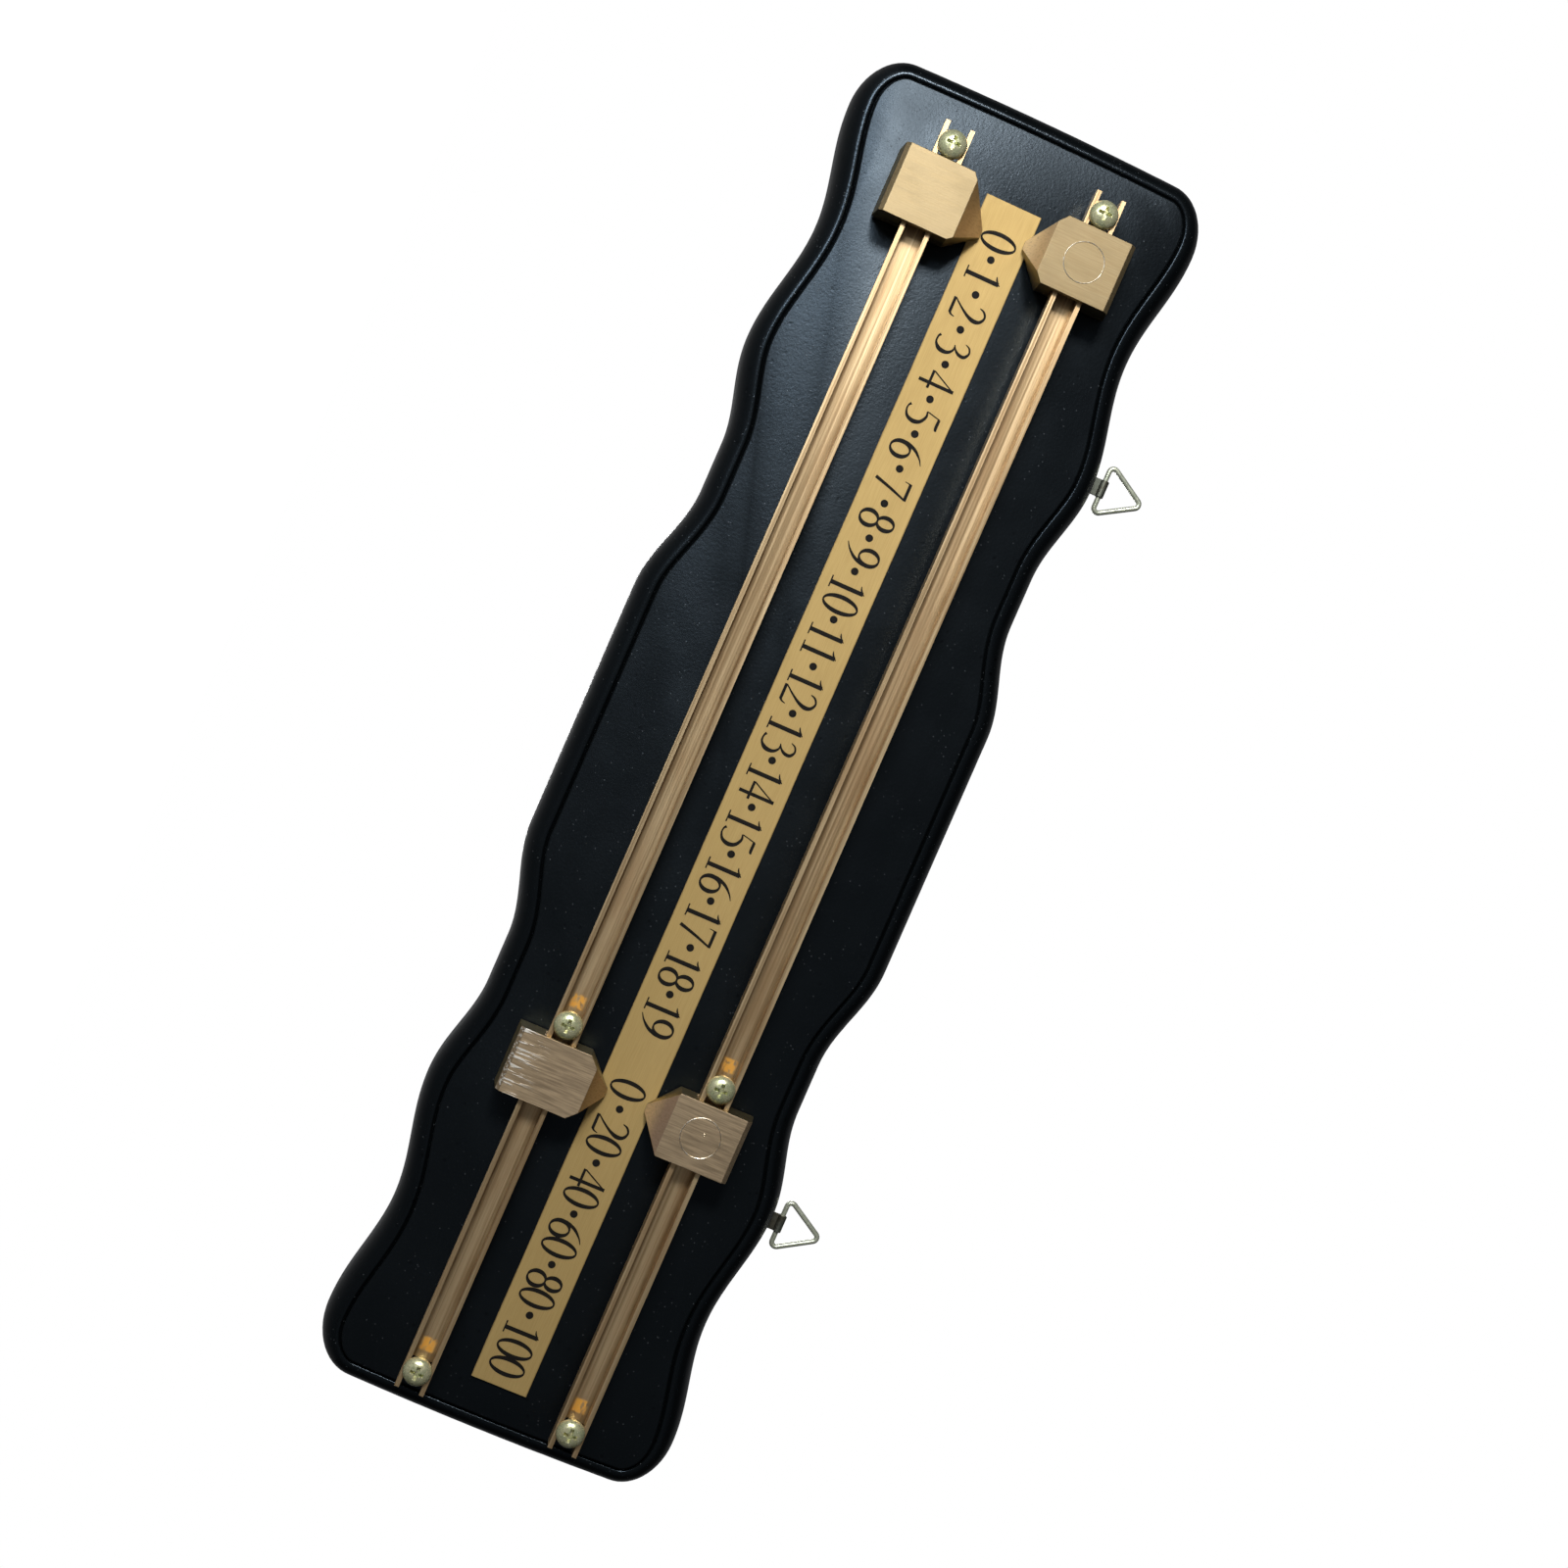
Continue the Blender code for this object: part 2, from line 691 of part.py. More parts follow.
def main():
    clear_scene()
    build_backboard()
    build_score_plate()
    rail_brass = make_material("rail_brass", RAIL_BRASS, 1.0, 0.28)
    build_rail("upper_rail", 1, rail_brass)
    build_rail("lower_rail", -1, rail_brass)
    build_rail_screws(make_material("screw_plating", SCREW_PLATING, 1.0, 0.25))
    pointer_brass = make_material("pointer_brass", POINTER_BRASS, 1.0, 0.40)
    for name in POINTERS:
        build_pointer(name, pointer_brass)
        build_stud(name, pointer_brass)
    build_hangers(make_material("hanger_nickel", WIRE_NICKEL, 1.0, 0.25))


main()
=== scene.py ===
"""Looks for the wall-hung snooker scoring board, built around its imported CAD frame.

Lengths are in metres. A height is measured in front of the printed face, as in the CAD.
"""

import json
import math

import bmesh
import bpy
from mathutils import Matrix, Vector, noise


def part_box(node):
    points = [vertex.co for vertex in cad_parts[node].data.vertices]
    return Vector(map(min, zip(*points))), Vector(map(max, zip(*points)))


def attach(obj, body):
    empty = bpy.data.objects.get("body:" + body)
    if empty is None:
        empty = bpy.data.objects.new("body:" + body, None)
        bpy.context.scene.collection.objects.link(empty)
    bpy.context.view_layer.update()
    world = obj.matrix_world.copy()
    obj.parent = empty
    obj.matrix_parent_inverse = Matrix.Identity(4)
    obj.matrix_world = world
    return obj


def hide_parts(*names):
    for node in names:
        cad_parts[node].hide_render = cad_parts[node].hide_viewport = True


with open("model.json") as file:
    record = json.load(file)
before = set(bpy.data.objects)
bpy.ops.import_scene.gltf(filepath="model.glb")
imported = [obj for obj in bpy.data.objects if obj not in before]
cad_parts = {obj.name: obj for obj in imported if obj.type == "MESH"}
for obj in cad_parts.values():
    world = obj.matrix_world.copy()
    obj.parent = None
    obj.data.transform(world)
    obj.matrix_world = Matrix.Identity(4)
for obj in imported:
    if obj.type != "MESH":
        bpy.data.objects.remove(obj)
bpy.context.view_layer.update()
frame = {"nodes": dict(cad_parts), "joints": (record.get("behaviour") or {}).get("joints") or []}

MM = 0.001

RAIL_WALL = 0.0013
GROOVE_HALF = 0.00295  # half the width between the rail's walls

# --- Places read from the CAD ---

BOARD_LOW, BOARD_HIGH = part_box("backboard")
FACE_Y = BOARD_LOW.y
PLATE_LOW, PLATE_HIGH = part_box("score_plate")


def front(height):
    """Y of a point at this height in front of the printed face."""
    return FACE_Y - height


def middle(node):
    low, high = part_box(node)
    return (low + high) / 2


def hinge_axis(joint_name):
    """Y and Z of a hinge that runs along X."""
    joint = next(j for j in frame["joints"] if j["name"] == joint_name)
    return joint["pos_m"][1], joint["pos_m"][2]


# --- Mesh helpers ---


def add_object(name, data):
    obj = bpy.data.objects.new(name, data)
    bpy.context.scene.collection.objects.link(obj)
    return obj


def mesh_from(name, bm):
    """Makes a mesh of a bmesh, with its faces pointing out, and frees the bmesh."""
    bmesh.ops.recalc_face_normals(bm, faces=bm.faces)
    mesh = bpy.data.meshes.new(name)
    bm.to_mesh(mesh)
    bm.free()
    return mesh


def shade(mesh, degrees):
    """Shades a mesh smooth, but for edges sharper than this angle."""
    mesh.shade_smooth()
    mesh.set_sharp_from_angle(angle=math.radians(degrees))


def finish_mesh(name, bm, material, body, *replaced, smooth_angle=35):
    """Turns a bmesh into a piece that rides on a body and stands for CAD nodes."""
    mesh = mesh_from(name, bm)
    shade(mesh, smooth_angle)
    mesh.materials.append(material)
    obj = add_object(name, mesh)
    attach(obj, body)
    if replaced:
        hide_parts(*replaced)
    return obj


def join_loops(bm, near, far):
    """Joins two closed loops of points with a band of faces."""
    for i in range(len(near)):
        j = (i + 1) % len(near)
        bm.faces.new((near[i], near[j], far[j], far[i]))


def add_prism(bm, outline, place, start, end):
    """Adds a prism to bm: place(a, b, t) turns outline points and a depth into 3-D."""
    near = [bm.verts.new(place(a, b, start)) for a, b in outline]
    far = [bm.verts.new(place(a, b, end)) for a, b in outline]
    bm.faces.new(near)
    bm.faces.new(far)
    join_loops(bm, near, far)


def along_y(a, b, t):
    return (a, t, b)


def along_x(a, b, t):
    return (t, a, b)


def add_turned(bm, profile, segments, centre):
    """Adds a solid of revolution about Y from (radius, y) points."""
    cx, cz = centre
    rings = []
    for radius, y in profile:
        if radius == 0:
            rings.append([bm.verts.new((cx, y, cz))])
            continue
        ring = []
        for step in range(segments):
            angle = 2 * math.pi * step / segments
            ring.append(bm.verts.new((cx + radius * math.cos(angle), y, cz + radius * math.sin(angle))))
        rings.append(ring)
    for lower, upper in zip(rings, rings[1:]):
        for i in range(segments):
            j = (i + 1) % segments
            if len(lower) == 1:
                bm.faces.new((lower[0], upper[i], upper[j]))
            elif len(upper) == 1:
                bm.faces.new((lower[i], lower[j], upper[0]))
            else:
                bm.faces.new((lower[i], lower[j], upper[j], upper[i]))


def add_bevel(obj, width, segments=2, angle=30):
    bevel = obj.modifiers.new("edge_radius", "BEVEL")
    bevel.width = width
    bevel.segments = segments
    bevel.limit_method = "ANGLE"
    bevel.angle_limit = math.radians(angle)
    bevel.harden_normals = True


def boolean(obj, other, operation):
    """Applies a Boolean between two meshes and throws the second away."""
    modifier = obj.modifiers.new(operation.lower(), "BOOLEAN")
    modifier.operation = operation
    modifier.solver = "EXACT"
    modifier.object = other
    depsgraph = bpy.context.evaluated_depsgraph_get()
    mesh = bpy.data.meshes.new_from_object(obj.evaluated_get(depsgraph), depsgraph=depsgraph)
    obj.modifiers.remove(modifier)
    old = obj.data
    mesh.name = old.name
    obj.data = mesh
    bpy.data.meshes.remove(old)
    bpy.data.objects.remove(other)


def helper_object(bm):
    """A passing object for the second mesh of a Boolean."""
    return add_object("helper", mesh_from("helper", bm))


# --- Materials ---

NOISE_ROUGHNESS = 0.55  # weight of a noise's fine octaves
MIDTONES = (0.3, 0.7)  # most of a noise lies between these


class Surface:
    """A Principled material, with short calls for the node patterns used below."""

    def __init__(self, name, values):
        self.material = bpy.data.materials.new(name)
        self.material.use_nodes = True
        self.tree = self.material.node_tree
        self.shader = self.tree.nodes["Principled BSDF"]
        self.place = self.node("ShaderNodeTexCoord").outputs["Object"]
        for socket, value in values.items():
            self.set(socket, value)

    def node(self, kind, **settings):
        made = self.tree.nodes.new(kind)
        for key, value in settings.items():
            setattr(made, key, value)
        return made

    def wire(self, target, value):
        if isinstance(value, bpy.types.NodeSocket):
            self.tree.links.new(value, target)
        elif isinstance(value, (tuple, list)) and len(target.default_value) == 4:
            target.default_value = (*value, 1.0)
        else:
            target.default_value = value

    def set(self, socket, value):
        self.wire(self.shader.inputs[socket], value)

    def stretched(self, scale):
        """Object coordinates, scaled by a different amount along each axis."""
        mapping = self.node("ShaderNodeMapping")
        self.wire(mapping.inputs["Vector"], self.place)
        mapping.inputs["Scale"].default_value = scale
        return mapping.outputs["Vector"]

    def noise(self, scale, detail=3.0):
        """Noise from 0 to 1; scale is one number, or one for each axis."""
        if not isinstance(scale, (tuple, list)):
            scale = (scale, scale, scale)
        made = self.node("ShaderNodeTexNoise")
        self.wire(made.inputs["Vector"], self.stretched(scale))
        made.inputs["Scale"].default_value = 1.0
        made.inputs["Detail"].default_value = detail
        made.inputs["Roughness"].default_value = NOISE_ROUGHNESS
        return made.outputs["Fac"]

    def cells(self, scale):
        """Distance from the nearest of many scattered points, 0 at a point."""
        made = self.node("ShaderNodeTexVoronoi")
        self.wire(made.inputs["Vector"], self.stretched((scale, scale, scale)))
        made.inputs["Scale"].default_value = 1.0
        return made.outputs["Distance"]

    def axis(self, name):
        split = self.node("ShaderNodeSeparateXYZ")
        self.wire(split.inputs[0], self.place)
        return split.outputs[name]

    def span(self, value, low, high, start=0.0, end=1.0):
        """Maps low..high to start..end, clamped and eased."""
        made = self.node("ShaderNodeMapRange", interpolation_type="SMOOTHSTEP")
        made.inputs["From Min"].default_value = low
        made.inputs["From Max"].default_value = high
        made.inputs["To Min"].default_value = start
        made.inputs["To Max"].default_value = end
        self.wire(made.inputs["Value"], value)
        return made.outputs["Result"]

    def math(self, operation, a, b=0.0):
        made = self.node("ShaderNodeMath", operation=operation)
        self.wire(made.inputs[0], a)
        self.wire(made.inputs[1], b)
        return made.outputs[0]

    def times(self, a, b):
        return self.math("MULTIPLY", a, b)

    def scattered(self, scale, reach, patch_scale, patch_from, patch_to):
        """Small dots, 1 at their middles, that come only in patches."""
        dots = self.span(self.cells(scale), 0.06, reach, 1.0, 0.0)
        return self.times(dots, self.span(self.noise(patch_scale, 2), patch_from, patch_to))

    def mix(self, share, a, b):
        made = self.node("ShaderNodeMix", data_type="RGBA")
        colours = [s for s in made.inputs if s.type == "RGBA"]
        self.wire(made.inputs[0], share)
        self.wire(colours[0], a)
        self.wire(colours[1], b)
        return [s for s in made.outputs if s.type == "RGBA"][0]

    def roughness(self, pattern, low, high):
        self.set("Roughness", self.span(pattern, *MIDTONES, low, high))

    def bump(self, *layers):
        """Stacks (height, strength, distance) layers into the surface normal."""
        normal = None
        for height, strength, distance in layers:
            made = self.node("ShaderNodeBump")
            made.inputs["Strength"].default_value = strength
            made.inputs["Distance"].default_value = distance
            self.wire(made.inputs["Height"], height)
            if normal is not None:
                self.wire(made.inputs["Normal"], normal)
            normal = made.outputs["Normal"]
        self.set("Normal", normal)


PAINT_DARK, PAINT_LIGHT = (0.0014, 0.0019, 0.0022), (0.0034, 0.0043, 0.0050)
PAINT_SPECK, PAINT_PIT = (0.11, 0.12, 0.13), (0.0006, 0.0006, 0.0007)
PAINT_SHEEN = (0.66, 0.83, 1.0)
SPECK_SHARE = 0.42
FACE_EDGE, RIM_START = 0.0002, 0.0008  # depths between which the face's satin gives way
RIM_GLOSS = 0.65  # the rim's roughness, as a share of the face's


def paint_material():
    """Black paint over sanded fibreboard: satin on the face, glossier round the rim."""
    s = Surface("satin_black_paint", {"Specular IOR Level": 0.33, "Specular Tint": PAINT_SHEEN})
    speck = s.scattered(620, 0.16, 130, 0.48, 0.56)
    pit = s.scattered(300, 0.22, 80, 0.50, 0.58)
    base = s.mix(s.noise(26, 4), PAINT_DARK, PAINT_LIGHT)
    base = s.mix(s.times(speck, SPECK_SHARE), base, PAINT_SPECK)
    s.set("Base Color", s.mix(pit, base, PAINT_PIT))
    behind_face = s.span(s.axis("Y"), FACE_Y + FACE_EDGE, FACE_Y + RIM_START)
    satin = s.span(s.noise(70, 5), *MIDTONES, 0.31, 0.37)
    s.set("Roughness", s.times(satin, s.span(behind_face, 0.0, 1.0, 1.0, RIM_GLOSS)))
    s.bump(
        (s.noise(330, 3), 0.10, 0.00010),
        (s.noise(1400, 3), 0.65, 0.00007),
        (s.math("SUBTRACT", speck, pit), 0.4, 0.00006),
    )
    return s.material


GOLD_DARK, GOLD_LIGHT = (0.50, 0.35, 0.130), (0.62, 0.445, 0.185)
# The second colour on this line is painted shade for the plate's long edges.
GOLD_GRAIN, GOLD_EDGE_SHADE = (0.44, 0.30, 0.110), (0.20, 0.13, 0.05)
EDGE_SHADE_WIDTH = 0.0006  # how far the painted shade reaches in from the long edges


def plate_material():
    """Gold-lacquered sheet, finely brushed along its length, with painted shade along its long edges."""
    s = Surface("satin_gold_sheet", {"Metallic": 0.65})
    grain = s.noise((140, 2000, 5200), 2)
    base = s.mix(s.noise((14, 60, 90), 4), GOLD_DARK, GOLD_LIGHT)
    base = s.mix(s.span(grain, 0.35, 0.75, 0.0, 0.22), base, GOLD_GRAIN)
    from_middle = s.math("ABSOLUTE", s.axis("Z"))
    half = (PLATE_HIGH.z - PLATE_LOW.z) / 2
    # Painted shade, darkening the sheet towards its long edges.
    edge_shade = s.span(from_middle, half - EDGE_SHADE_WIDTH, half, 0.0, 0.6)
    s.set("Base Color", s.mix(edge_shade, base, GOLD_EDGE_SHADE))
    s.roughness(grain, 0.62, 0.70)
    s.bump((grain, 0.10, 0.00002), (s.noise(240, 2), 0.10, 0.00005))
    return s.material


INK_DARK, INK_LIGHT = (0.004, 0.004, 0.004), (0.014, 0.011, 0.009)


def ink_material():
    """Matt black print, laid a little unevenly."""
    s = Surface("black_print", {"Specular IOR Level": 0.15})
    patch = s.noise(900, 3)
    s.set("Base Color", s.mix(patch, INK_DARK, INK_LIGHT))
    s.roughness(patch, 0.60, 0.78)
    s.bump((patch, 0.2, 0.00002))
    return s.material


BRASS_DARK, BRASS_LIGHT = (0.54, 0.370, 0.195), (0.78, 0.590, 0.345)
# The second colour on this line is painted shade, laid dark brown in the groove's corners.
BRASS_STAIN, BRASS_GROOVE_SHADE = (0.54, 0.340, 0.170), (0.19, 0.105, 0.040)
WEB_UNSHADED = 0.0012  # the groove's floor is free of painted shade out to here on each side of its middle
GROOVE_EDGE = 0.0001  # half the blend between the floor's painted shade and the wall
MIDDLE_EDGE = 0.0004  # half the blend between the groove's lower and upper halves
UPPER_SHADE = 0.7  # the upper corner's painted shade, as a share of the lower corner's, which lies in the lower wall's shadow
# A painted reflection: the orange light that a screw's head would throw onto the groove's floor just
# before it.
SCREW_REFLECTION = (1.0, 0.50, 0.09)
REFLECTION_START, REFLECTION_END = 0.0081, 0.0042  # distances before a screw's middle
REFLECTION_EDGE_START, REFLECTION_EDGE_END = 0.0005, 0.0004  # half the blend at each end
REFLECTION_HALF, REFLECTION_CORE = 0.0026, 0.0012  # its fading and its full half widths


def glow_mark(s, rail, place, across):
    """1 on the small orange patch of painted reflection that lies on the groove's floor just before a
    screw.
    """
    screw_x = middle(f"{rail}_screw_{place}").x
    x = s.axis("X")
    start, end = screw_x - REFLECTION_START, screw_x - REFLECTION_END
    mark = s.times(
        s.span(x, start - REFLECTION_EDGE_START, start + REFLECTION_EDGE_START),
        s.span(x, end + REFLECTION_EDGE_END, end - REFLECTION_EDGE_END),
    )
    mark = s.times(mark, s.span(across, REFLECTION_HALF, REFLECTION_CORE))
    return s.times(mark, s.span(s.noise((500, 900, 900), 2), 0.30, 0.52))


def groove_tarnish(s, offset, across):
    """1 where shade is painted in the groove's corners, ragged along the rail and weaker in the upper
    corner.
    """
    corner = s.span(across, WEB_UNSHADED, GROOVE_HALF)
    inside = s.span(across, GROOVE_HALF + GROOVE_EDGE, GROOVE_HALF - GROOVE_EDGE)
    ragged = s.span(s.noise((60, 700, 700), 3), 0.35, 0.60, 0.55, 1.0)
    lower = s.span(offset, -MIDDLE_EDGE, MIDDLE_EDGE, 1.0, UPPER_SHADE)
    return s.times(s.times(corner, inside), s.times(ragged, lower))


def rail_material(rail):
    """Drawn brass: streaks along the rail, painted brown shade in the groove's corners and painted
    orange reflections of the screws on the groove's floor.
    """
    s = Surface("drawn_brass_" + rail, {})
    streak = s.noise((9, 1500, 1500), 3)
    wander = s.noise((35, 300, 300), 3)
    tone = s.mix(s.span(streak, 0.32, 0.66), BRASS_DARK, BRASS_LIGHT)
    tone = s.mix(s.span(wander, 0.40, 0.65, 0.0, 0.55), tone, BRASS_STAIN)
    offset = s.math("SUBTRACT", s.axis("Z"), middle(rail).z)
    across = s.math("ABSOLUTE", offset)
    # Painted shade in the groove's corners.
    tone = s.mix(groove_tarnish(s, offset, across), tone, BRASS_GROOVE_SHADE)
    reflection = 0.0
    # Painted orange reflections of the middle and right screws.
    for place in ("mid", "right"):
        mark = glow_mark(s, rail, place, across)
        tone = s.mix(mark, tone, SCREW_REFLECTION)
        reflection = s.math("ADD", reflection, mark)
    s.set("Base Color", tone)
    # Where the reflection is painted, the brass is less metallic, so that the lamps light its orange as
    # a bright patch.
    s.set("Metallic", s.span(reflection, 0.0, 1.0, 0.82, 0.35))
    s.roughness(streak, 0.30, 0.42)
    s.bump((streak, 0.20, 0.00005), (wander, 0.30, 0.00012))
    return s.material


SHADE = 0.78  # the clouded patches' brightness, as a share of the dull tone's
SCORE_START, SCORE_FULL = -0.0235, -0.0320  # Z between which scoring grows to the outer edge
SCORE_COLOUR = (1.0, 0.95, 0.86)


def pointer_material(name, dull, bright, scored=False):
    """Brass brushed along Z by hand; scored adds bright scratches along the lower edge."""
    s = Surface(name, {"Metallic": 1.0})
    brush = s.noise((2600, 2600, 120), 3)
    cloud = s.noise((190, 190, 90), 4)
    base = s.mix(s.span(brush, 0.30, 0.70), dull, bright)
    shade = tuple(c * SHADE for c in dull)
    base = s.mix(s.span(cloud, 0.40, 0.75, 0.0, 0.35), base, shade)
    layers = [(brush, 0.35, 0.00005), (cloud, 0.12, 0.00010)]
    if scored:
        line = s.span(s.noise((1700, 1700, 130), 2), 0.54, 0.60)
        score = s.times(line, s.span(s.axis("Z"), SCORE_START, SCORE_FULL))
        base = s.mix(score, base, SCORE_COLOUR)
        layers.append((score, 1.0, 0.00016))
    s.set("Base Color", base)
    s.roughness(brush, 0.54, 0.66)
    s.bump(*layers)
    return s.material


BURNISHED_DARK, BURNISHED_LIGHT = (0.66, 0.54, 0.36), (1.0, 0.96, 0.86)


def burnished_material():
    """The filed-over rim of a guide pin: brighter than the block around it."""
    s = Surface("burnished_brass", {"Metallic": 1.0})
    broken = s.noise(1100, 3)
    s.set("Base Color", s.mix(s.span(broken, 0.40, 0.60), BURNISHED_DARK, BURNISHED_LIGHT))
    s.roughness(broken, 0.45, 0.30)
    s.bump((broken, 0.4, 0.00004))
    return s.material


FACET_TIP, FACET_ROOT = 0.0075, 0.0112  # distances from the plate's middle
FILED_SHADE = 0.45  # the file marks' brightness, as a share of the root colour's


def facet_material(name, root, tip, grit):
    """The filed facet that runs down to a pointer's tip; grit adds dark speckle."""
    s = Surface(name, {"Metallic": 0.6})
    file_marks = s.noise((2400, 900, 240), 3)
    speckle = s.noise(1500, 3)
    from_middle = s.math("ABSOLUTE", s.axis("Z"))
    base = s.mix(s.span(from_middle, FACET_TIP, FACET_ROOT), tip, root)
    marks = s.math("ADD", file_marks, s.times(speckle, grit))
    darker = s.span(marks, 0.45, 0.9 + grit, 0.0, 0.55)
    s.set("Base Color", s.mix(darker, base, tuple(c * FILED_SHADE for c in root)))
    s.roughness(file_marks, 0.42, 0.60)
    s.bump((file_marks, 0.35, 0.00006), (speckle, 0.3 + grit / 2, 0.00008))
    return s.material


SAWN_DARK, SAWN_LIGHT, SAWN_STAIN = (0.26, 0.21, 0.10), (0.44, 0.36, 0.20), (0.20, 0.15, 0.09)


def sawn_material():
    """The pointers' sides: sawn, olive with age, with marks across the cut."""
    s = Surface("sawn_brass", {"Metallic": 1.0})
    marks = s.noise((900, 2200, 900), 3)
    cloud = s.noise(220, 3)
    stain = s.span(cloud, 0.4, 0.7, 0.0, 0.5)
    s.set("Base Color", s.mix(stain, s.mix(marks, SAWN_DARK, SAWN_LIGHT), SAWN_STAIN))
    s.roughness(marks, 0.38, 0.52)
    s.bump((marks, 0.35, 0.00005), (cloud, 0.2, 0.00008))
    return s.material


ZINC_DARK, ZINC_LIGHT, ZINC_BLUSH = (0.58, 0.55, 0.26), (0.95, 0.93, 0.66), (0.52, 0.58, 0.33)
NICKEL_DARK, NICKEL_LIGHT = (0.50, 0.54, 0.41), (0.74, 0.77, 0.62)
# The strap steel's dark tones are painted shade; its rust is a stain.
SHADED_STEEL_DARK, SHADED_STEEL_LIGHT, STEEL_RUST = (0.11, 0.12, 0.10), (0.24, 0.26, 0.22), (0.10, 0.075, 0.045)


def screw_material():
    """Yellow-passivated zinc plating with a faint greenish cast."""
    s = Surface("yellow_zinc", {"Metallic": 0.65})
    cloud = s.noise(800, 4)
    blush = s.times(s.span(s.noise(520, 3), 0.42, 0.60), 0.6)
    s.set("Base Color", s.mix(blush, s.mix(cloud, ZINC_DARK, ZINC_LIGHT), ZINC_BLUSH))
    s.roughness(s.noise(1300, 3), 0.20, 0.36)
    s.bump((cloud, 0.45, 0.00012))
    return s.material


def nickel_material():
    """Nickel plating on the rings and hanger screws."""
    s = Surface("nickel_wire", {"Metallic": 0.6})
    cloud = s.noise(600, 3)
    s.set("Base Color", s.mix(cloud, NICKEL_DARK, NICKEL_LIGHT))
    s.roughness(cloud, 0.28, 0.40)
    s.bump((s.noise((700, 2500, 2500), 2), 0.12, 0.00002))
    return s.material


def strap_material():
    """Sheet steel coloured dark as painted shade, for the board's shadow over it, with rust stains."""
    s = Surface("painted_shade_steel", {"Metallic": 0.9})
    cloud = s.noise(420, 4)
    stain = s.span(s.noise(150, 3), 0.45, 0.65, 0.0, 0.6)
    s.set("Base Color", s.mix(stain, s.mix(cloud, SHADED_STEEL_DARK, SHADED_STEEL_LIGHT), STEEL_RUST))
    s.roughness(cloud, 0.42, 0.60)
    s.bump((s.noise((2200, 300, 300), 2), 0.2, 0.00003), (cloud, 0.25, 0.00006))
    return s.material


# --- The plaque ---


# (distance from the middle, half width) at the crests and hollows of the wavy edge.
WAVE = (
    (0.0, 0.0545), (0.036, 0.0545), (0.068, 0.0478), (0.082, 0.0478),
    (0.112, 0.0531), (0.148, 0.0479), (0.183, 0.0529),
)
WAVE_PITCH = 0.0012
CORNER_DEPTH = 0.0135
CORNER_STEPS = 14
END_BOW = 0.0006
END_STEPS = 20
RIM_WIDTH = 0.0056
RIM_SIDE = 0.013  # depth at which the rim's curve meets the plaque's straight side
RIM_CREST = 0.0010
RIM_STEPS = 16
BACK_EDGE = 0.0008  # radius of the back's edge
BACK_EDGE_ANGLES = (0, 0.5, 1.0)  # radians round that edge
SANDING = 0.00007  # how far hand sanding wanders along the edges
SANDING_LEAST = 0.2  # the least that sanding takes off, as a share of that
SANDING_RATE = 420  # how fast it wanders, in waves to the metre
SANDING_FALL = 3  # how much faster it wanders down the rim than along it
# (inset, depth) across the cut groove and the broken edge of the raised face.
GROOVE = (
    (0.00590, 0.00108), (0.00612, 0.00135), (0.00635, 0.00195), (0.00655, 0.00205), (0.00672, 0.00150),
    (0.00680, 0.00075), (0.00690, 0.00030), (0.00706, 0.00008), (0.00735, 0.0),
)


def quarter_outline():
    """Points from the middle of the top edge round the corner to the middle of the end."""
    points = [Vector(WAVE[0])]
    for (x0, h0), (x1, h1) in zip(WAVE, WAVE[1:]):
        steps = round((x1 - x0) / WAVE_PITCH)
        for step in range(1, steps + 1):
            t = step / steps
            rise = (h1 - h0) * (1 - math.cos(math.pi * t)) / 2
            points.append(Vector((x0 + (x1 - x0) * t, h0 + rise)))
    crest_x, crest_h = WAVE[-1]
    reach = BOARD_HIGH.x - END_BOW - crest_x
    for step in range(1, CORNER_STEPS + 1):
        angle = math.pi / 2 * step / CORNER_STEPS
        drop = CORNER_DEPTH * (1 - math.cos(angle))
        points.append(Vector((crest_x + reach * math.sin(angle), crest_h - drop)))
    end_height = crest_h - CORNER_DEPTH
    for step in range(1, END_STEPS + 1):
        share = 1 - step / END_STEPS
        points.append(Vector((BOARD_HIGH.x - END_BOW * share**2, end_height * share)))
    return points


def plaque_outline():
    """The whole outline, clockwise from the middle of the top edge."""
    quarter = quarter_outline()
    right = quarter + [Vector((p.x, -p.y)) for p in reversed(quarter[:-1])]
    return right + [Vector((-p.x, p.y)) for p in reversed(right[1:-1])]


def inset_loop(loop, inset):
    """The outline moved inwards along its normals."""
    ring = []
    for i, point in enumerate(loop):
        tangent = (loop[(i + 1) % len(loop)] - loop[i - 1]).normalized()
        ring.append(point + Vector((tangent.y, -tangent.x)) * inset)
    return ring


def plaque_profile():
    """(inset, depth behind the face) pairs from the back edge over the rim to the raised face."""
    back = BOARD_HIGH.y - BOARD_LOW.y
    profile = []
    for angle in BACK_EDGE_ANGLES:
        inset = BACK_EDGE * (1 - math.sin(angle))
        profile.append((inset, back - BACK_EDGE * (1 - math.cos(angle))))
    profile.append((0.0, back - BACK_EDGE))
    for step in range(RIM_STEPS + 1):
        angle = math.pi / 2 * step / RIM_STEPS
        inset = RIM_WIDTH * (1 - math.cos(angle))
        profile.append((inset, RIM_SIDE - (RIM_SIDE - RIM_CREST) * math.sin(angle)))
    return profile + list(GROOVE)


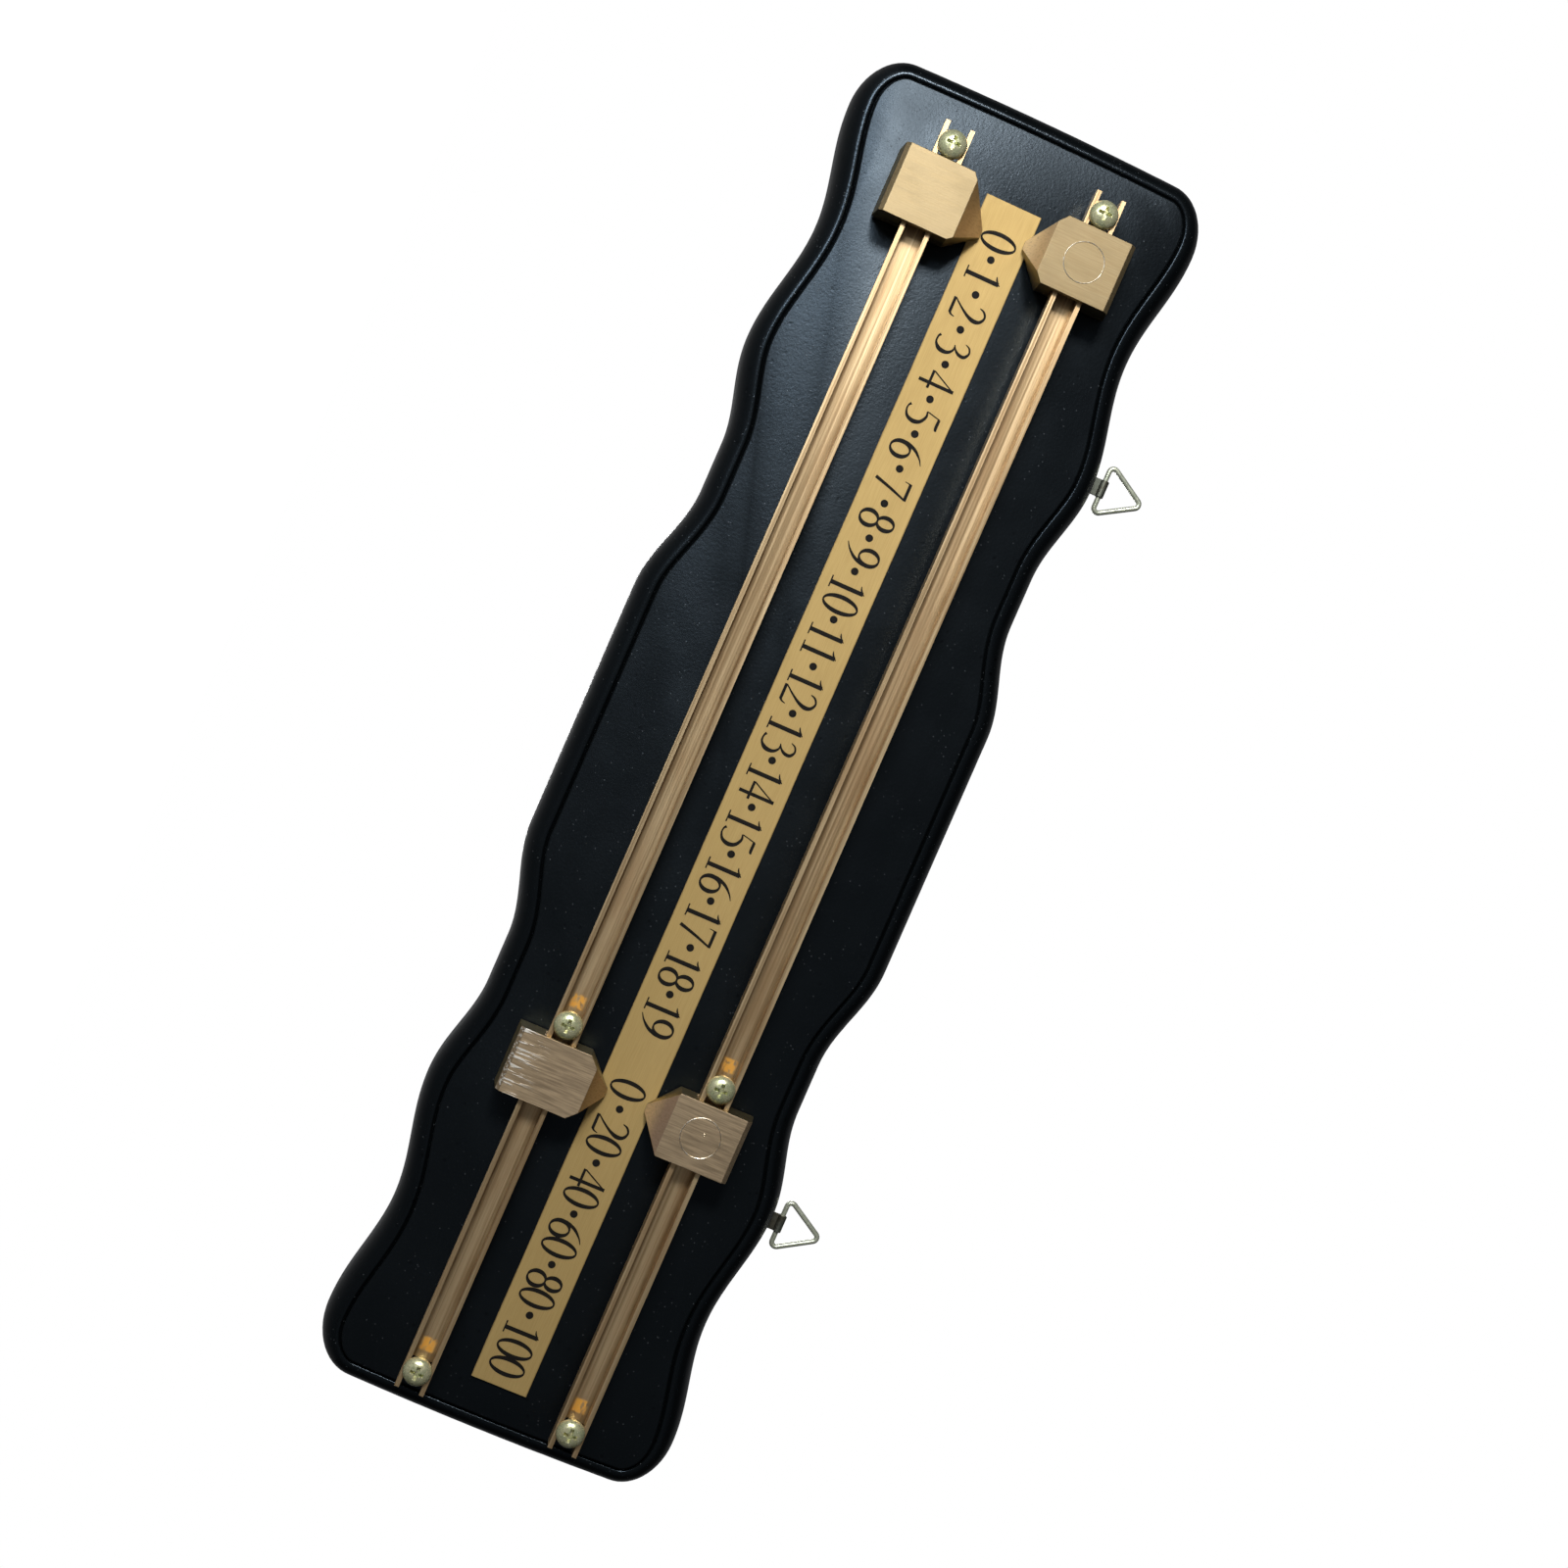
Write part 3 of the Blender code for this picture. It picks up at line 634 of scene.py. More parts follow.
def build_plaque(paint):
    loop = plaque_outline()
    bm = bmesh.new()
    rings = []
    for inset, depth in plaque_profile():
        ring = []
        for point in inset_loop(loop, inset):
            spot = Vector((point.x, depth * SANDING_FALL, point.y)) * SANDING_RATE
            rough = abs(noise.noise(spot)) * SANDING
            sanded = point - point.normalized() * (rough + SANDING * SANDING_LEAST)
            ring.append(bm.verts.new((sanded.x, FACE_Y + depth, sanded.y)))
        rings.append(ring)
    bm.faces.new(rings[0])
    bm.faces.new(rings[-1])
    for lower, upper in zip(rings, rings[1:]):
        join_loops(bm, lower, upper)
    plaque = finish_mesh("plaque", bm, paint, "board", "backboard", smooth_angle=50)


# --- The printed plate ---

DIGIT_WIDTH = 5.3  # millimetres, as are all the glyph strokes below
DIGIT_HEIGHT = 10.4
THICK, THIN = 1.22, 0.52
SWELL = 1.3  # how sharply a stroke thins towards an oval's ends
OVAL_STEPS = 32


def oval(cx, cy, rx, ry):
    """A closed stroke that is thick at its sides and thin at its ends."""
    points = []
    for step in range(OVAL_STEPS):
        angle = 2 * math.pi * step / OVAL_STEPS
        width = THIN + (THICK - THIN) * abs(math.cos(angle)) ** SWELL
        points.append((cx + rx * math.cos(angle), cy + ry * math.sin(angle), width))
    return points + points[:1]


SIX = [
    [(2.3, 10.2, 0.22), (0.6, 9.1, 0.50), (-1.2, 7.0, 0.90), (-2.1, 4.4, 1.02), (-2.0, 2.4, 0.98)],
    oval(0.03, 3.05, 2.12, 2.87),
]
# Each digit is a list of strokes, each a list of (x from the digit's middle, y, width).
STROKES = {
    "0": [oval(0, 5.2, 2.14, 5.02)],
    "1": [
        [(0.25, 0.2, THICK), (0.25, 9.9, THICK)],
        [(-1.75, 8.7, 0.22), (-0.7, 9.1, 0.50), (0.55, 10.25, 0.30)],
        [(-1.55, 0.2, 0.40), (1.85, 0.2, 0.40)],
    ],
    "2": [
        [
            (-2.35, 7.9, 0.30), (-1.75, 9.3, 0.60), (-0.3, 10.05, 0.62), (1.25, 9.2, 0.95),
            (1.65, 7.5, THICK), (0.9, 5.3, 0.85), (-0.8, 2.7, 0.52), (-2.5, 0.6, 0.36),
        ],
        [(-2.6, 0.42, 0.84), (1.9, 0.42, 0.84)],
        [(1.7, 0.4, 0.80), (2.3, 0.95, 0.50), (2.65, 2.1, 0.22)],
    ],
    "3": [
        [(-2.1, 8.3, 0.28), (-1.4, 9.6, 0.52), (0.0, 10.05, 0.62), (1.35, 9.1, 0.95), (1.3, 7.5, 0.92),
         (0.4, 6.2, 0.55), (-0.8, 5.5, 0.30)],
        [(-0.5, 5.7, 0.36), (0.9, 5.5, 0.62), (2.0, 4.1, 0.98), (1.9, 1.9, THICK), (0.5, 0.4, 0.62),
         (-1.2, 0.35, 0.55), (-2.0, 0.85, 0.80)],
    ],
    "4": [
        [(1.0, 10.2, 0.36), (-2.45, 3.4, 0.42)],
        [(-2.6, 3.15, 0.78), (2.65, 3.15, 0.78)],
        [(1.05, 10.35, 0.98), (1.05, 0.0, 0.98)],
    ],
    "5": [
        [(-1.0, 9.85, 0.84), (1.7, 9.85, 0.84), (2.3, 10.2, 0.45)],
        [(-1.0, 10.0, 0.36), (-1.85, 6.1, 0.34)],
        [(-1.9, 6.0, 0.40), (-0.3, 6.2, 0.75), (1.5, 5.1, 1.0), (2.1, 3.2, THICK), (1.4, 1.2, 0.88),
         (-0.2, 0.35, 0.52), (-1.5, 0.45, 0.50), (-2.2, 1.0, 0.80)],
    ],
    "6": SIX,
    "7": [
        [(-2.4, 9.85, 0.92), (2.5, 9.85, 0.92)],
        [(-2.35, 10.2, 0.40), (-2.6, 8.1, 0.20)],
        [(2.25, 9.8, 0.55), (0.7, 5.2, 0.78), (-0.8, 0.0, 0.95)],
    ],
    "8": [oval(0, 7.75, 1.75, 2.42), oval(0, 2.78, 2.1, 2.62)],
    "9": [[(-x, DIGIT_HEIGHT - y, width) for x, y, width in stroke] for stroke in SIX],
}
STROKE_STEPS = 5

INK_DEPTH = 0.00003
INK_SINK = 0.00001  # how far the ink reaches into the plate
INK_LAYER = 0.000004  # each stroke of a digit lies this much over the one before
DOT_RADIUS = 0.00108
DOT_SEGMENTS = 20

# Both printed scales as (text, x of its middle); a dot stands between neighbours.
# From 10 on, the two-digit numbers are set wider apart.
ZERO_X, UNIT_PITCH = -0.16167, 0.01041
TEN_X, TEEN_PITCH = -0.0558, 0.01413
UNITS_SCALE = [(str(n), ZERO_X + UNIT_PITCH * n) for n in range(10)]
UNITS_SCALE += [(str(n + 10), TEN_X + TEEN_PITCH * n) for n in range(10)]
TWENTIES_SCALE = [
    ("0", 0.0933), ("20", 0.1075), ("40", 0.1232),
    ("60", 0.1385), ("80", 0.1539), ("100", 0.1720),
]


def curve_through(stroke):
    """Fine points along an open stroke, with the widths eased from point to point."""
    points = [Vector(p) for p in stroke]
    if len(points) < 3:
        return points
    ends = [2 * points[0] - points[1]] + points + [2 * points[-1] - points[-2]]
    fine = []
    for a, b, c, d in zip(ends, ends[1:], ends[2:], ends[3:]):
        slope = c - a
        curve = 2 * a - 5 * b + 4 * c - d
        twist = 3 * b - a - 3 * c + d
        for step in range(STROKE_STEPS):
            t = step / STROKE_STEPS
            fine.append(0.5 * (2 * b + slope * t + curve * t**2 + twist * t**3))
    fine.append(points[-1])
    return fine


def add_stroke(bm, stroke, origin, level):
    """Lays one stroke of ink on the plate as a thin closed ribbon."""
    closed = stroke[0] == stroke[-1]
    points = [Vector(p) for p in stroke[:-1]] if closed else curve_through(stroke)
    top, base = PLATE_LOW.y - INK_DEPTH - level, PLATE_LOW.y + INK_SINK
    rows = []
    count = len(points)
    for i, point in enumerate(points):
        before = points[i - 1] if closed or i else point
        after = points[(i + 1) % count] if closed or i + 1 < count else point
        along = Vector((after.x - before.x, after.y - before.y)).normalized()
        side = Vector((-along.y, along.x)) * point.z / 2
        row = []
        for x, y, depth in (
            (point.x + side.x, point.y + side.y, top),
            (point.x - side.x, point.y - side.y, top),
            (point.x - side.x, point.y - side.y, base),
            (point.x + side.x, point.y + side.y, base),
        ):
            row.append(bm.verts.new((origin.x + x * MM, depth, origin.y + (y - DIGIT_HEIGHT / 2) * MM)))
        rows.append(row)
    pairs = list(zip(rows, rows[1:])) + ([(rows[-1], rows[0])] if closed else [])
    for here, there in pairs:
        join_loops(bm, here, there)
    if not closed:
        bm.faces.new(rows[0])
        bm.faces.new(rows[-1])


def build_numerals(ink):
    bm = bmesh.new()
    centre_z = middle("score_plate").z
    for scale in (UNITS_SCALE, TWENTIES_SCALE):
        for text, x in scale:
            first = x - DIGIT_WIDTH * MM * (len(text) - 1) / 2
            for place, digit in enumerate(text):
                origin = Vector((first + DIGIT_WIDTH * MM * place, centre_z))
                for order, stroke in enumerate(STROKES[digit]):
                    add_stroke(bm, stroke, origin, order * INK_LAYER)
    numerals = finish_mesh("printed_numerals", bm, ink, "board", smooth_angle=20)


def build_dots(ink):
    """A round dot midway between each number and the next."""
    centre_z = middle("score_plate").z
    base, top = PLATE_LOW.y + INK_SINK, PLATE_LOW.y - INK_DEPTH
    profile = [(0, base), (DOT_RADIUS, base), (DOT_RADIUS, top), (0, top)]
    bm = bmesh.new()
    for scale in (UNITS_SCALE, TWENTIES_SCALE):
        for (text, x), (after, next_x) in zip(scale, scale[1:]):
            edge = x + DIGIT_WIDTH * MM * len(text) / 2
            next_edge = next_x - DIGIT_WIDTH * MM * len(after) / 2
            add_turned(bm, profile, DOT_SEGMENTS, ((edge + next_edge) / 2, centre_z))
    dots = finish_mesh("printed_dots", bm, ink, "board", smooth_angle=20)


PLATE_STEPS = 90
PLATE_EDGE = 0.00012
SNIP = 0.0001  # how far a snipped edge wanders, and how far in from the CAD's edge it lies
SNIP_RATE = 45  # how fast it wanders, in waves to the metre
SNIP_ROWS = (0, 7)  # places in the noise that give the two edges different shapes


def build_plate(gold):
    """The thin sheet, with snipped edges that wander a little."""
    top_row, bottom_row = SNIP_ROWS
    top, bottom = [], []
    for step in range(PLATE_STEPS + 1):
        x = PLATE_LOW.x + (PLATE_HIGH.x - PLATE_LOW.x) * step / PLATE_STEPS
        drift = SNIP * noise.noise(Vector((x * SNIP_RATE, top_row, 0)))
        top.append((x, PLATE_HIGH.z - SNIP + drift))
        drift = SNIP * noise.noise(Vector((x * SNIP_RATE, bottom_row, 0)))
        bottom.append((x, PLATE_LOW.z + SNIP + drift))
    bm = bmesh.new()
    add_prism(bm, top + bottom[::-1], along_y, PLATE_HIGH.y, PLATE_LOW.y)
    plate = finish_mesh("printed_plate", bm, gold, "board", "score_plate")
    add_bevel(plate, PLATE_EDGE)


# --- Rails ---

GROOVE_FLOOR = 0.0048
HEAD_UNDERSIDE = 0.0036
FOOT_WIDTH = 0.0058
END_SLOT_LENGTH = 0.0080
WALL_OVERLAP = 0.0002  # how far the web reaches into each wall, so that they join
SEAM_STEP = 0.00001  # keeps the web's underside off the walls' own plane
RAIL_EDGE = 0.00022


def build_rail(name, brass):
    """A web between two walls; at each end the walls run on past it as a fork."""
    low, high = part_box(name)
    centre = (low.z + high.z) / 2
    half = (high.z - low.z) / 2
    inner = half - RAIL_WALL
    walls = []
    for side in (1, -1):
        bm = bmesh.new()
        outline = [
            (front(HEAD_UNDERSIDE), centre + side * inner),
            (front(HEAD_UNDERSIDE), centre + side * half),
            (low.y, centre + side * half),
            (low.y, centre + side * inner),
        ]
        add_prism(bm, outline, along_x, low.x, high.x)
        walls.append(bm)
    web = bmesh.new()
    underside = front(HEAD_UNDERSIDE) - SEAM_STEP
    section = [
        (high.y, FOOT_WIDTH / 2),
        (underside, FOOT_WIDTH / 2),
        (underside, inner + WALL_OVERLAP),
        (front(GROOVE_FLOOR), inner + WALL_OVERLAP),
    ]
    section += [(y, -z) for y, z in reversed(section)]
    section = [(y, centre + z) for y, z in section]
    add_prism(web, section, along_x, low.x + END_SLOT_LENGTH, high.x - END_SLOT_LENGTH)
    rail = finish_mesh(name + "_bar", walls[0], brass, "board", name)
    boolean(rail, helper_object(web), "UNION")
    boolean(rail, helper_object(walls[1]), "UNION")
    add_bevel(rail, RAIL_EDGE, 3)


# --- Rail and hanger screws ---

TO_FRONT, TO_BACK = -1, 1  # the way a screw's head faces, along Y
SCREW_SEGMENTS = 48
DOME_STEPS = 12
DOME_FULLNESS = 0.9  # below 1, the dome is fuller than a quarter ellipse
HEAD_WALL = 0.13  # height of the head's upright edge, as a share of the head's height
HEAD_SEAT = 0.96  # the seat's radius, as a share of the head's
HEAD_CHAMFER = 0.4  # height of the chamfer round the seat, as a share of the upright edge's
POINT_SHARE = 0.35  # the shank's radius at its tip, as a share of its own
POINT_BLUNT, POINT_LENGTH = 0.0006, 0.003
RECESS_SPAN, RECESS_SLOT = 1.15, 0.26  # the cross's reach and slots, as shares of the head's radius
RECESS_DEPTH = 0.6  # as a share of the head's height
RECESS_TAPER = 0.55  # the cross narrows to this share at its floor
SLOT_TAPER = 0.7  # and its slots to this one
RECESS_CLEAR = 0.0004  # how far the cutter stands above the crown
SCREW_EDGE = 0.00007


def cross_outline(span, width):
    """The twelve corners of a plus sign."""
    a, b = span / 2, width / 2
    return [
        (a, b), (b, b), (b, a), (-b, a), (-b, b), (-a, b),
        (-a, -b), (-b, -b), (-b, -a), (b, -a), (b, -b), (a, -b),
    ]


def screw_profile(radius, height, shank, tip, crown, facing):
    """(radius, y) points from the shank's tip over the seat to the crown of the dome."""
    seat = crown - facing * height
    wall = height * HEAD_WALL
    profile = [(0, tip), (shank * POINT_SHARE, tip + facing * POINT_BLUNT)]
    profile += [(shank, tip + facing * POINT_LENGTH), (shank, seat)]
    profile += [(radius * HEAD_SEAT, seat), (radius, seat + facing * wall * HEAD_CHAMFER)]
    for step in range(DOME_STEPS):
        angle = math.pi / 2 * step / DOME_STEPS
        rise = wall + (height - wall) * math.sin(angle)
        profile.append((radius * math.cos(angle) ** DOME_FULLNESS, seat + facing * rise))
    return profile + [(0, crown)]


def recess_cutter(centre, radius, height, crown, facing):
    """A cross that narrows towards its floor."""
    bm = bmesh.new()
    span, slot = radius * RECESS_SPAN, radius * RECESS_SLOT
    above = crown + facing * RECESS_CLEAR
    floor = crown - facing * height * RECESS_DEPTH
    mouth = [bm.verts.new((centre.x + a, above, centre.z + b)) for a, b in cross_outline(span, slot)]
    narrow = cross_outline(span * RECESS_TAPER, slot * SLOT_TAPER)
    taper = [bm.verts.new((centre.x + a, floor, centre.z + b)) for a, b in narrow]
    bm.faces.new(mouth)
    bm.faces.new(taper)
    join_loops(bm, mouth, taper)
    return bm


def build_screw(node, facing, plating, height, shank, slot):
    """A domed cross-recess screw; height is its head's and shank its shank's radius."""
    low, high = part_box(node)
    centre = middle(node)
    crown = low.y if facing < 0 else high.y
    tip = high.y if facing < 0 else low.y
    radius = (high.x - low.x) / 2
    bm = bmesh.new()
    profile = screw_profile(radius, height, shank, tip, crown, facing)
    add_turned(bm, profile, SCREW_SEGMENTS, (centre.x, centre.z))
    screw = finish_mesh(node + "_plated", bm, plating, "board", node)
    cutter = recess_cutter(centre, radius, height, crown, facing)
    boolean(screw, helper_object(cutter), "DIFFERENCE")
    shade(screw.data, 35)
    add_bevel(screw, SCREW_EDGE, 2, 40)


# --- Pointers and their studs ---

BLOCK_TOP = 0.0120
PLUG_RADIUS = 0.0062  # a little wider than the CAD's counterbore
PLUG_DEPTH = 0.0014
PIN_RADIUS = 0.0056
PIN_BURR = 0.00013  # radius of the raised hairline where the pin was filed flush
STEM_RADIUS = 0.0024
STEM_START = 0.0051
STEM_CHAMFER = 0.0003
ROUND_SEGMENTS = 48
STEM_SEGMENTS = 32
FACET_REACH = 0.0155  # facets lie nearer to the plate's middle than this
TILTED = 0.3  # a face leans towards an axis when its normal has more than this along it
FACET_SLOT, SIDE_SLOT = 1, 2  # material slots, after the top's
BLOCK_EDGE = 0.00018
NICK = Vector((-0.0012, 0, 0.0006))  # from the pin's middle to a small punch mark
NICK_RADIUS = 0.00028


def mark_facets_and_sides(mesh):
    """Gives upright sides and the facets their own material slots."""
    for face in mesh.polygons:
        normal = face.normal
        if abs(normal.y) < TILTED:
            face.material_index = SIDE_SLOT
        elif abs(normal.z) > TILTED and abs(face.center.z) < FACET_REACH and normal.y < 0:
            face.material_index = FACET_SLOT


def merge_flat(mesh):
    """Joins doubled points, then faces that lie in one plane."""
    bm = bmesh.new()
    bm.from_mesh(mesh)
    bmesh.ops.remove_doubles(bm, verts=bm.verts, dist=2e-6)
    bmesh.ops.dissolve_limit(bm, angle_limit=math.radians(1), verts=bm.verts, edges=bm.edges)
    bm.to_mesh(mesh)
    bm.free()


def build_pointer(name, top, facet, side):
    """The CAD's own block with its edges eased; on the upper ones a plug fills the counterbore."""
    node = name + "_pointer"
    stud = middle(name + "_stud")
    bm = bmesh.new()
    bm.from_mesh(frame["nodes"][node].data)
    bmesh.ops.remove_doubles(bm, verts=bm.verts, dist=1e-6)
    block = finish_mesh(name + "_block", bm, top, name, node)
    if name.startswith("upper"):
        plug = bmesh.new()
        inner, outer = front(BLOCK_TOP - PLUG_DEPTH), front(BLOCK_TOP)
        profile = [(0, inner), (PLUG_RADIUS, inner), (PLUG_RADIUS, outer), (0, outer)]
        add_turned(plug, profile, ROUND_SEGMENTS, (stud.x, stud.z))
        boolean(block, helper_object(plug), "UNION")
    merge_flat(block.data)
    shade(block.data, 20)
    block.data.materials.clear()
    for material in (top, facet, side):
        block.data.materials.append(material)
    mark_facets_and_sides(block.data)
    add_bevel(block, BLOCK_EDGE, 2, 25)


def join_rings(bm, rings):
    """Joins each ring of points to the next, and the last to the first."""
    for i, ring in enumerate(rings):
        join_loops(bm, ring, rings[(i + 1) % len(rings)])


def add_torus(bm, centre, ring_radius, wire_radius, steps=72, sides=8):
    """Adds a ring of round wire lying in an X-Z plane."""
    rings = []
    for step in range(steps):
        angle = 2 * math.pi * step / steps
        ring = []
        for side in range(sides):
            turn = 2 * math.pi * side / sides
            radius = ring_radius + wire_radius * math.cos(turn)
            x = centre.x + radius * math.cos(angle)
            y = centre.y + wire_radius * math.sin(turn)
            z = centre.z + radius * math.sin(angle)
            ring.append(bm.verts.new((x, y, z)))
        rings.append(ring)
    join_rings(bm, rings)


def build_stud(name, brass):
    """The guide pin: its filed head shows as a hairline circle on the upper pointers."""
    node = name + "_stud"
    centre = middle(node)
    bm = bmesh.new()
    start, end = front(STEM_START), front(BLOCK_TOP - PLUG_DEPTH)
    profile = [(0, start), (STEM_RADIUS - STEM_CHAMFER, start), (STEM_RADIUS, start - STEM_CHAMFER)]
    profile += [(STEM_RADIUS, end), (0, end)]
    add_turned(bm, profile, STEM_SEGMENTS, (centre.x, centre.z))
    if name.startswith("upper"):
        surface = Vector((centre.x, front(BLOCK_TOP), centre.z))
        add_torus(bm, surface, PIN_RADIUS, PIN_BURR)
        if name == "upper_twenties":
            add_torus(bm, surface + NICK, NICK_RADIUS, PIN_BURR, 16)
    stud = finish_mesh(name + "_pin", bm, brass, name, node)


# --- Hangers ---

WIRE_RADIUS = 0.00075
WIRE_SIDES = 16
RING_CORNER = 0.0013
ARC_STEPS = 8
SLEEVE_PLAY = 0.00012
SHEET = 0.0004
STRAP_WIDTH = 0.0050
SLEEVE_STEPS = 24
STRAP_EDGE = 0.00012
RING_ANGLE = math.radians(60)  # about the angle at each corner
APEX_TRIM = 0.9  # how much lower rounding leaves the apex, in corner radii


def rounded_triangle(base, height, radius):
    """Points round a triangle with its base on the X axis, corners rounded, and their tangents."""
    corners = [Vector((-base / 2, 0)), Vector((base / 2, 0)), Vector((0, height))]
    points = []
    for i, corner in enumerate(corners):
        incoming = (corner - corners[i - 1]).normalized()
        outgoing = (corners[(i + 1) % 3] - corner).normalized()
        turn = incoming.angle(outgoing)
        start = corner - incoming * radius * math.tan(turn / 2)
        centre = start + Vector((-incoming.y, incoming.x)) * radius
        for step in range(ARC_STEPS + 1):
            angle = turn * step / ARC_STEPS
            along = incoming * math.cos(angle) + Vector((-incoming.y, incoming.x)) * math.sin(angle)
            points.append((centre + Vector((along.y, -along.x)) * radius, along))
    return points


def build_ring(side, nickel):
    """A triangle of round wire whose base runs along the hinge."""
    node = side + "_hanger_ring"
    low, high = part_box(node)
    centre_x = (low.x + high.x) / 2
    axis_y, axis_z = hinge_axis(side + "_ring_swing")
    base = high.x - low.x - 2 * WIRE_RADIUS
    # The corners are rounded, so the sharp triangle is a little larger than the box.
    growth = RING_CORNER * (1 / math.tan(RING_ANGLE / 2) - 1)
    height = high.z - axis_z - WIRE_RADIUS + RING_CORNER * APEX_TRIM
    bm = bmesh.new()
    rings = []
    for point, along in rounded_triangle(base + 2 * growth, height, RING_CORNER):
        outward = Vector((along.y, -along.x))
        ring = []
        for step in range(WIRE_SIDES):
            angle = 2 * math.pi * step / WIRE_SIDES
            reach = WIRE_RADIUS * math.cos(angle)
            x = centre_x + point.x + outward.x * reach
            z = axis_z + point.y + outward.y * reach
            ring.append(bm.verts.new((x, axis_y + WIRE_RADIUS * math.sin(angle), z)))
        rings.append(ring)
    join_rings(bm, rings)
    ring = finish_mesh(side + "_triangle_ring", bm, nickel, side + "_ring", node, smooth_angle=50)


def build_strap(side, shaded_steel):
    """A folded sheet strap: two flat layers that open into a sleeve round the ring's wire."""
    node = side + "_hanger_strap"
    low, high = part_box(node)
    axis_y, axis_z = hinge_axis(side + "_ring_swing")
    inner = WIRE_RADIUS + SLEEVE_PLAY
    outer = inner + SHEET
    opening = math.asin(SHEET / outer)
    sweep = 2 * math.pi - 2 * opening
    arc = [-math.pi / 2 + opening + sweep * step / SLEEVE_STEPS for step in range(SLEEVE_STEPS + 1)]
    sleeve = [(axis_y + outer * math.cos(a), axis_z + outer * math.sin(a)) for a in arc]
    outline = [(axis_y + SHEET, low.z), *sleeve, (axis_y - SHEET, low.z)]
    centre_x = (low.x + high.x) / 2
    bm = bmesh.new()
    add_prism(bm, outline, along_x, centre_x - STRAP_WIDTH / 2, centre_x + STRAP_WIDTH / 2)
    strap = finish_mesh(side + "_strap", bm, shaded_steel, "board", node)
    hole = bmesh.new()
    round_hole = [(axis_y + inner * math.cos(a), axis_z + inner * math.sin(a)) for a in arc[:-1]]
    add_prism(hole, round_hole, along_x, centre_x - STRAP_WIDTH, centre_x + STRAP_WIDTH)
    boolean(strap, helper_object(hole), "DIFFERENCE")
    add_bevel(strap, STRAP_EDGE, 2, 50)


# --- Camera, light and floor ---

VIEW_FROM = Vector((-0.0110, FACE_Y - 0.5731, -0.0400))
VIEW_AIM = Vector((-0.0017, FACE_Y, 0.0057))
VIEW_ROLL = math.radians(-113.62)  # where the board's +X points in the picture
LENS = 47.7


def build_camera():
    """Faces the printed side, rolled so that the scale runs down the picture."""
    data = bpy.data.cameras.new("view")
    data.lens = LENS
    data.clip_start = 0.01
    camera = add_object("view", data)
    back = (VIEW_FROM - VIEW_AIM).normalized()
    along = Vector((1, 0, 0))
    along = (along - back * along.dot(back)).normalized()
    across = back.cross(along)
    right = along * math.cos(VIEW_ROLL) - across * math.sin(VIEW_ROLL)
    up = along * math.sin(VIEW_ROLL) + across * math.cos(VIEW_ROLL)
    camera.matrix_world = Matrix.Translation(VIEW_FROM) @ Matrix((right, up, back)).transposed().to_4x4()
    bpy.context.scene.camera = camera


def add_area(name, place, aim, side, watts, colour):
    """A square area light."""
    data = bpy.data.lights.new(name, "AREA")
    data.shape = "RECTANGLE"
    data.size, data.size_y = side, side
    data.energy = watts
    data.color = colour
    light = add_object(name, data)
    light.location = place
    light.rotation_euler = (Vector(aim) - Vector(place)).to_track_quat("-Z", "Y").to_euler()


ROOM_COLOUR = (0.95, 0.97, 1.0, 1.0)
ROOM_FRONT, ROOM_SIDE = 0.13, 0.02  # the room's brightness along Y and across it
ROOM_TURN = 0.3  # how far along Y a direction points before the room gets lighter


def build_world():
    """White to the camera; to the object a dim room, lighter in front and behind than beside it."""
    world = bpy.data.worlds.new("studio")
    world.use_nodes = True
    tree = world.node_tree
    nodes, links = tree.nodes, tree.links
    split = nodes.new("ShaderNodeSeparateXYZ")
    links.new(nodes.new("ShaderNodeTexCoord").outputs["Generated"], split.inputs[0])
    facing = nodes.new("ShaderNodeMath")
    facing.operation = "ABSOLUTE"
    links.new(split.outputs["Y"], facing.inputs[0])
    level = nodes.new("ShaderNodeMapRange")
    level.inputs["From Min"].default_value = ROOM_TURN
    level.inputs["To Min"].default_value = ROOM_SIDE
    level.inputs["To Max"].default_value = ROOM_FRONT
    links.new(facing.outputs[0], level.inputs["Value"])
    soft = nodes["Background"]
    soft.inputs["Color"].default_value = ROOM_COLOUR
    links.new(level.outputs["Result"], soft.inputs["Strength"])
    white = nodes.new("ShaderNodeBackground")
    white.inputs["Color"].default_value = (1, 1, 1, 1)
    path = nodes.new("ShaderNodeLightPath")
    mix = nodes.new("ShaderNodeMixShader")
    links.new(path.outputs["Is Camera Ray"], mix.inputs[0])
    links.new(soft.outputs[0], mix.inputs[1])
    links.new(white.outputs[0], mix.inputs[2])
    links.new(mix.outputs[0], nodes["World Output"].inputs["Surface"])
    bpy.context.scene.world = world
    bpy.context.scene.view_settings.view_transform = "Standard"


# name, place, the point it is aimed at, side of its square, watts, colour
LIGHTS = (
    ("key", (-0.68, -0.88, -0.12), (-0.05, 0, 0), 0.20, 8.5, (1.0, 0.98, 0.95)),
    ("window", (-0.37, -0.60, -0.24), (-0.18, 0, -0.05), 0.16, 1.8, (0.85, 0.93, 1.0)),
    ("low_side", (-0.35, -0.35, -0.70), (-0.12, 0, 0), 0.5, 2.4, (0.90, 0.95, 1.0)),
    ("behind", (0, 1.4, 0), (0, 0, 0), 0.4, 9.0, (1.0, 1.0, 1.0)),
)
FLOOR_DROP = 0.25
FLOOR_REACH = 0.8
FLOOR_GREY = (0.45, 0.45, 0.45, 1)


